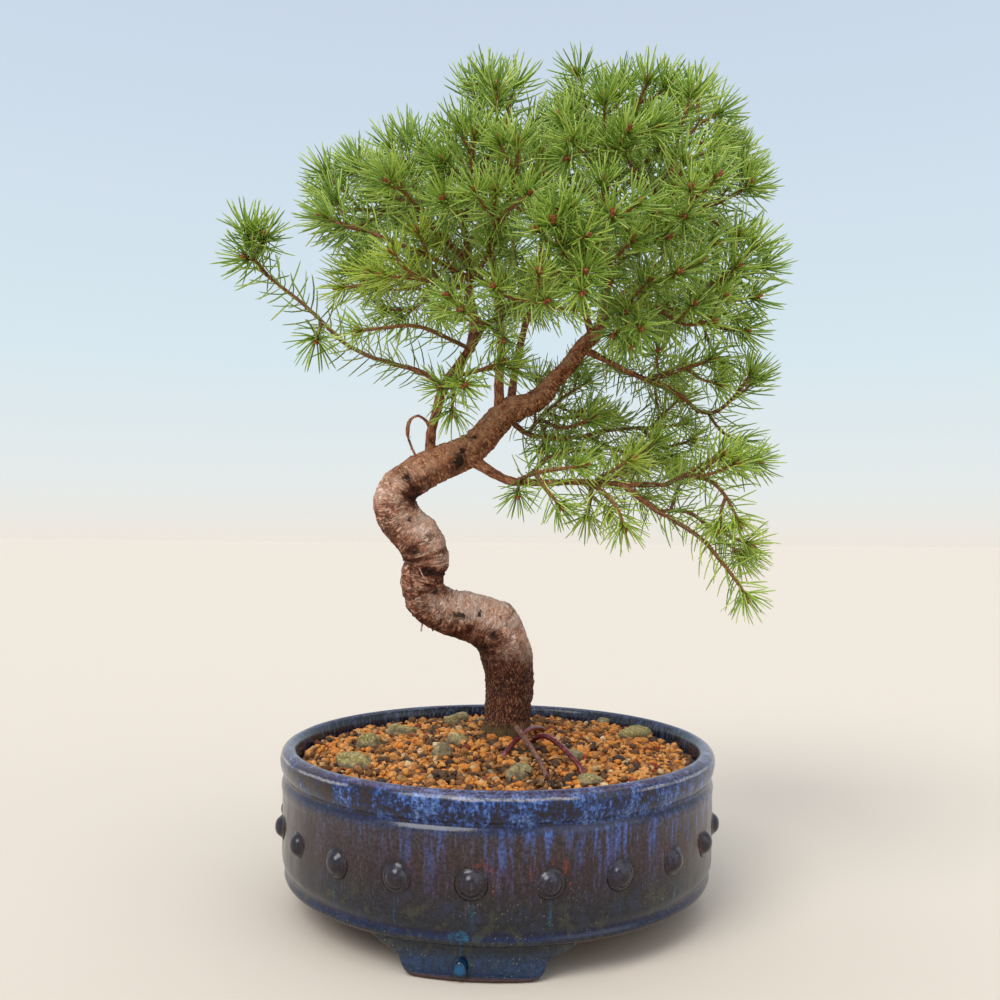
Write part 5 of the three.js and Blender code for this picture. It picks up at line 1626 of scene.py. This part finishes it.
def bud_mesh():
    """A pointed bud of unit length."""
    bm = bmesh.new()
    layer = bm.verts.layers.float_vector.new("needle")
    made = bmesh.ops.create_uvsphere(bm, u_segments=7, v_segments=6, radius=0.5)["verts"]
    for vert in made:
        share = vert.co.z + 0.5
        slim = 0.66 * (1 - 0.45 * share)
        vert.co = Vector((vert.co.x * slim, vert.co.y * slim, share))
        vert[layer] = (0, 0, 0)
    make_smooth(bm, material=2)
    return Template(bm, "needle")


def peg_mesh(material):
    """A short woody peg, which a fallen needle leaves on its twig."""
    bm = bmesh.new()
    layer = bm.verts.layers.float_vector.new("needle")
    bmesh.ops.create_cone(bm, cap_ends=False, segments=4, radius1=0.5, radius2=0.22, depth=1)
    for vert in bm.verts:
        vert.co.z += 0.5
        vert[layer] = (0, 0.1, 0)
    top = [edge for edge in bm.edges if min(vert.co.z for vert in edge.verts) > 0.5]
    bmesh.ops.edgeloop_fill(bm, edges=top)
    make_smooth(bm, material)
    return Template(bm, "needle")


# Needles in the star at a shoot's tip
BURST = 24

# Radius of a stem and of a side shoot, at its foot and at its tip
STEM_RADII = (0.95, 0.65)
SHOOT_RADII = (0.75, 0.55)


class Grower:
    """Grows one spray: its stems, side shoots, needles, pegs and buds."""

    def __init__(self, look, seed, templates, yellow):
        self.look = look
        self.draw = random.Random(seed)
        self.needles, self.bud, self.peg = templates
        self.yellow = yellow
        self.young = yellow
        self.bm = bmesh.new()
        self.layer = self.bm.verts.layers.float_vector.new("needle")
        self.length = look.needle / MM * mix(1, 0.86, fade(0.2, 0.4, yellow))
        self.spacing = look.spacing / MM

    def twig(self, line, radii, sides, age):
        """The woody bar of a stem or shoot, marked older towards its foot."""
        def mark(ring, distance, place):
            for vert in ring:
                vert[self.layer] = (0, max(age, distance / line.length), self.yellow * 0.5)

        sweep(self.bm, line, lambda share: mix(*radii, share), sides, 3.2, mark, material=1)

    def dress(self, line, bare, radius, fresh):
        """Needles all round a twig from the end of its bare part, closest and freshest near its tip."""
        draw = self.draw
        angle = draw.uniform(0, 2 * math.pi)
        distance = bare
        self.young = self.yellow * draw.uniform(0.6, 1.3)
        while distance < line.length - 0.5:
            point, ahead = line.at(distance)
            to_tip = line.length - distance
            angle += GOLDEN_ANGLE
            lean = mix(0.75, 1.28, fade(0, 9, to_tip)) + draw.uniform(-0.18, 0.18)
            size = self.length * draw.uniform(0.82, 1.1)
            size *= mix(0.72, 1, fade(bare - 2, bare + 6, distance)) * mix(0.85, 1, fade(0, 6, to_tip))
            age = fade(fresh, fresh + 34, to_tip)
            self.needle(point, ahead, angle, lean, size, radius, mix(self.young, -0.9, age))
            crowd = mix(0.48, 1, fade(3, 12, to_tip)) * mix(1, 1.35, age)
            distance += self.spacing * crowd * draw.uniform(0.7, 1.3)

    def needle(self, point, ahead, angle, lean, size, twig, young):
        """One needle at a place on a twig, leaning away from the twig's own direction."""
        draw = self.draw
        side = beside(ahead, angle).normalized()
        up = 0.10 if side.z < 0 else 0.02
        way = (ahead * math.cos(lean) + side * math.sin(lean) + Vector((0, 0, up))).normalized()
        inward = (ahead - way * ahead.dot(way)).normalized()
        inward = (Matrix.Rotation(draw.uniform(-0.6, 0.6), 3, way) @ inward).normalized()
        matrix = basis(point + side * twig * 0.6, inward, way.cross(inward), way) @ Matrix.Scale(size, 4)
        tone = min(1, max(0, draw.gauss(0.45, 0.28)))
        draw.choice(self.needles).plant(self.bm, matrix, tone, None, min(1, young))

    def burst(self, line):
        """The star of needles round the buds at a tip."""
        draw = self.draw
        point, ahead = line.at(line.length)
        turn = draw.uniform(0, 2 * math.pi)
        for index in range(BURST):
            turn += GOLDEN_ANGLE
            share = index / (BURST - 1)
            self.needle(point - ahead * 1.8 * share, ahead, turn, mix(0.5, 1.42, share ** 0.8),
                        self.length * draw.uniform(0.84, 1.04), 0.5, self.young)
        count = draw.choice((1, 2, 3, 3))
        for index in range(count):
            lean = 0.1 if index == 0 else 0.65
            side = beside(ahead, turn + index * 2.6)
            way = (ahead * math.cos(lean) + side * math.sin(lean)).normalized()
            size = draw.uniform(3.2, 4.2) * (1 if index == 0 else 0.8)
            self.bud.plant(self.bm, pointing(point - ahead * 0.3, way) @ Matrix.Scale(size, 4))

    def pegs(self, line, start, end, radius_at, size=1.0):
        """Pegs on a bare stretch of twig."""
        draw = self.draw
        distance = start
        angle = draw.uniform(0, 2 * math.pi)
        while distance < end:
            point, ahead = line.at(distance)
            angle += GOLDEN_ANGLE
            side = beside(ahead, angle).normalized()
            way = (side + ahead * 0.5).normalized()
            foot = point + side * (radius_at(distance / line.length) - 0.15)
            scale = Matrix.Diagonal((0.55 * size, 0.55 * size, 0.75 * size, 1))
            self.peg.plant(self.bm, pointing(foot, way) @ scale)
            distance += draw.uniform(1.0, 1.9)

    def side_shoots(self, line, start, bushy):
        """Shoots that leave a stem all round, shorter towards its tip."""
        draw = self.draw
        longest = self.look.reach / MM
        angle = draw.uniform(0, 2 * math.pi)
        distance = start + draw.uniform(0, 4)
        while distance < line.length - 5:
            point, ahead = line.at(distance)
            angle += GOLDEN_ANGLE + draw.uniform(-0.4, 0.4)
            side = beside(ahead, angle).normalized()
            to_tip = line.length - distance
            reach = min(longest, 9 + 0.55 * to_tip) * draw.uniform(0.72, 1.1) * mix(0.75, 1, bushy)
            lean = draw.uniform(0.75, 1.0)
            way = ahead * math.cos(lean) + side * math.sin(lean)
            way.z += 0.08
            way.normalize()
            bend = ahead * 0.18 + Vector((0, 0, 0.1))
            middle = point + way * reach * 0.5
            tip = point + (way + bend).normalized() * reach
            if inside_box(tip):
                shoot = Line([point, middle, tip], 1.6)
                self.twig(shoot, SHOOT_RADII, 5, 0.35)
                self.pegs(shoot, 2, reach - 6, lambda share: 0.7, 0.9)
                self.dress(shoot, draw.uniform(2, 4), 0.65, shoot.length)
                self.burst(shoot)
            distance += self.look.shoots / MM / bushy * draw.uniform(0.75, 1.25)

    def grow(self, bearer, stems, bushy):
        """A whole spray. Its first stem leaves the limb and the others leave that stem."""
        main = None
        for places in stems:
            points = [seen(place) for place in places]
            parent = main or LIMB_LINES[bearer]
            points[0] = parent.at(parent.nearest(points[0]))[0]
            line = Line(points)
            bare = 3.5 if main else max(4.0, 0.08 * line.length)
            self.twig(line, STEM_RADII, 6, 0)
            self.pegs(line, 1.5, line.length - 8, lambda share: 0.85)
            self.dress(line, bare, 0.8, 26)
            self.burst(line)
            if bushy > 0.55:
                self.side_shoots(line, bare + 1, bushy)
            main = main or line


# How far a shoot's tip keeps from the sides of the box of solids, as its needles reach further
ROOM = 7

# A limb bears needles of its own where it is thinner than this
CLOTHED = 2.7


def inside_box(tip):
    """Whether needles round this tip stay near the box of the solids."""
    low, high = CAD_BOX
    return all(low[axis] / MM + ROOM < tip[axis] < high[axis] / MM - ROOM for axis in range(3))


class BONSAI_OT_foliage(bpy.types.Operator):
    """Build every leafy spray with its twigs, needles and buds"""

    bl_idname = "bonsai.foliage"
    bl_label = "Foliage"

    def execute(self, context):
        look = context.scene.bonsai_foliage
        materials = [needle_material(look), twig_material(look), bud_material(look)]
        width = look.width / look.needle
        needles = [needle_mesh(bend, width) for bend in NEEDLE_BENDS]
        templates = (needles, bud_mesh(), peg_mesh(1))
        self.clothe_limbs(look, templates, materials)
        for index, (name, (bearer, bushy, yellow, stems)) in enumerate(SPRAYS.items()):
            grower = Grower(look, SPRAY_SEED + SPRAY_SEED_STEP * index, templates, yellow)
            # The crowded shoots at the front have shorter needles
            grower.length *= mix(1, 0.87, fade(-25, -65, stems[0][-1][2]))
            grower.grow(bearer, stems, bushy)
            node = f"spray_{name}"
            replaced = [node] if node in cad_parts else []
            finish_piece(grower.bm, f"foliage_{name}", materials, replaced)
        return {"FINISHED"}

    def clothe_limbs(self, look, templates, materials):
        """Older needles along the thin ends of the limbs."""
        grower = Grower(look, LIMB_NEEDLE_SEED, templates, 0.4)
        for name, line in BRANCH_LINES.items():
            if name == "dead_curl":
                continue
            thick = [2 * LIMB_RADII[name](step / 40) for step in range(41)]
            start = sum(size > CLOTHED for size in thick) / 40 * line.length
            if start < line.length - 6:
                grower.dress(line, max(4.0, start), 0.9, -14)
        finish_piece(grower.bm, "foliage_on_limbs", materials)


class BONSAI_OT_stage(bpy.types.Operator):
    """Set the floor, the soft light and the camera"""

    bl_idname = "bonsai.stage"
    bl_label = "Stage"

    def execute(self, context):
        look = context.scene.bonsai_stage
        bm = bmesh.new()
        bmesh.ops.create_circle(bm, cap_ends=True, radius=60, segments=96)
        mesh = bpy.data.meshes.new("floor")
        bm.to_mesh(mesh)
        bm.free()
        mesh.materials.append(floor_material(look))
        floor = bpy.data.objects.new("floor", mesh)
        context.scene.collection.objects.link(floor)
        self.add_world(context, look)
        self.add_lights(context, look)
        self.add_camera(context)
        context.scene.view_settings.view_transform = "Standard"
        return {"FINISHED"}

    def add_world(self, context, look):
        world = bpy.data.worlds.new("soft_light")
        world.use_nodes = True
        tree = world.node_tree
        sky = tree.nodes["Background"]
        sky.inputs["Strength"].default_value = look.around
        heading = tree.nodes.new("ShaderNodeTexCoord")
        axes = tree.nodes.new("ShaderNodeSeparateXYZ")
        ramp = tree.nodes.new("ShaderNodeValToRGB")
        ramp.color_ramp.elements[0].position = 0.0
        ramp.color_ramp.elements[0].color = (*look.ground, 1)
        ramp.color_ramp.elements[1].position = 0.5
        ramp.color_ramp.elements[1].color = (*look.sky, 1)
        ramp.color_ramp.elements.new(0.05).color = (*rgb(230, 235, 234), 1)
        ramp.color_ramp.elements.new(0.18).color = (*rgb(216, 232, 240), 1)
        tree.links.new(heading.outputs["Generated"], axes.inputs["Vector"])
        tree.links.new(axes.outputs["Z"], ramp.inputs["Fac"])
        tree.links.new(ramp.outputs["Color"], sky.inputs["Color"])
        context.scene.world = world

    def add_lights(self, context, look):
        """Soft distant lights: where each comes from, how wide it is, its share of the key's power."""
        lights = {
            "key": ((-0.6, -0.75, 1.1), 34, 1.0),
            "fill": ((0.9, -0.7, 0.7), 50, 0.25),
            "top": ((0.1, 0.1, 1.2), 70, 0.5),
        }
        for name, (place, spread, share) in lights.items():
            light = bpy.data.lights.new(name, "SUN")
            light.angle = math.radians(spread)
            light.energy = look.key * share
            lamp = bpy.data.objects.new(name, light)
            lamp.location = place
            lamp.rotation_euler = (-lamp.location).to_track_quat("-Z", "Y").to_euler()
            context.scene.collection.objects.link(lamp)

    def add_camera(self, context):
        data = bpy.data.cameras.new("camera")
        data.sensor_width = SENSOR
        data.lens = VIEW_FOCAL * SENSOR / VIEW_SIZE
        data.clip_start = 0.01
        data.dof.use_dof = False
        camera = bpy.data.objects.new("camera", data)
        lift = Matrix.Rotation(math.pi / 2 - VIEW_TILT, 4, "X")
        roll = Matrix.Rotation(VIEW_ROLL, 4, "Z")
        place = Matrix.Translation((0, -VIEW_DISTANCE * MM, VIEW_HEIGHT * MM))
        camera.matrix_world = place @ lift @ roll
        context.scene.collection.objects.link(camera)
        context.scene.camera = camera


class BONSAI_PT_panel(bpy.types.Panel):
    bl_idname = "BONSAI_PT_panel"
    bl_label = "Spruce Bonsai"
    bl_space_type = "VIEW_3D"
    bl_region_type = "UI"
    bl_category = "Bonsai"

    def draw(self, context):
        for operator in OPERATORS:
            self.layout.operator(operator.bl_idname)
        for name in GROUPS:
            group = getattr(context.scene, name)
            box = self.layout.box()
            for key in group.bl_rna.properties.keys():
                if key not in ("rna_type", "name"):
                    box.prop(group, key)


GROUPS = {
    "bonsai_pot": BonsaiPotLook,
    "bonsai_soil": BonsaiSoilLook,
    "bonsai_wood": BonsaiWoodLook,
    "bonsai_foliage": BonsaiFoliageLook,
    "bonsai_stage": BonsaiStageLook,
}
OPERATORS = (
    BONSAI_OT_stage,
    BONSAI_OT_pot,
    BONSAI_OT_soil,
    BONSAI_OT_wood,
    BONSAI_OT_ties,
    BONSAI_OT_foliage,
)


def register():
    for name, group in GROUPS.items():
        bpy.utils.register_class(group)
        setattr(bpy.types.Scene, name, PointerProperty(type=group))
    for operator in OPERATORS:
        bpy.utils.register_class(operator)
    bpy.utils.register_class(BONSAI_PT_panel)


def unregister():
    bpy.utils.unregister_class(BONSAI_PT_panel)
    for operator in reversed(OPERATORS):
        bpy.utils.unregister_class(operator)
    for name, group in reversed(GROUPS.items()):
        delattr(bpy.types.Scene, name)
        bpy.utils.unregister_class(group)


def main():
    register()
    bpy.ops.bonsai.stage()
    bpy.ops.bonsai.pot()
    bpy.ops.bonsai.soil()
    bpy.ops.bonsai.wood()
    bpy.ops.bonsai.ties()
    bpy.ops.bonsai.foliage()
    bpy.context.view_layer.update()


if __name__ == "__main__":
    main()
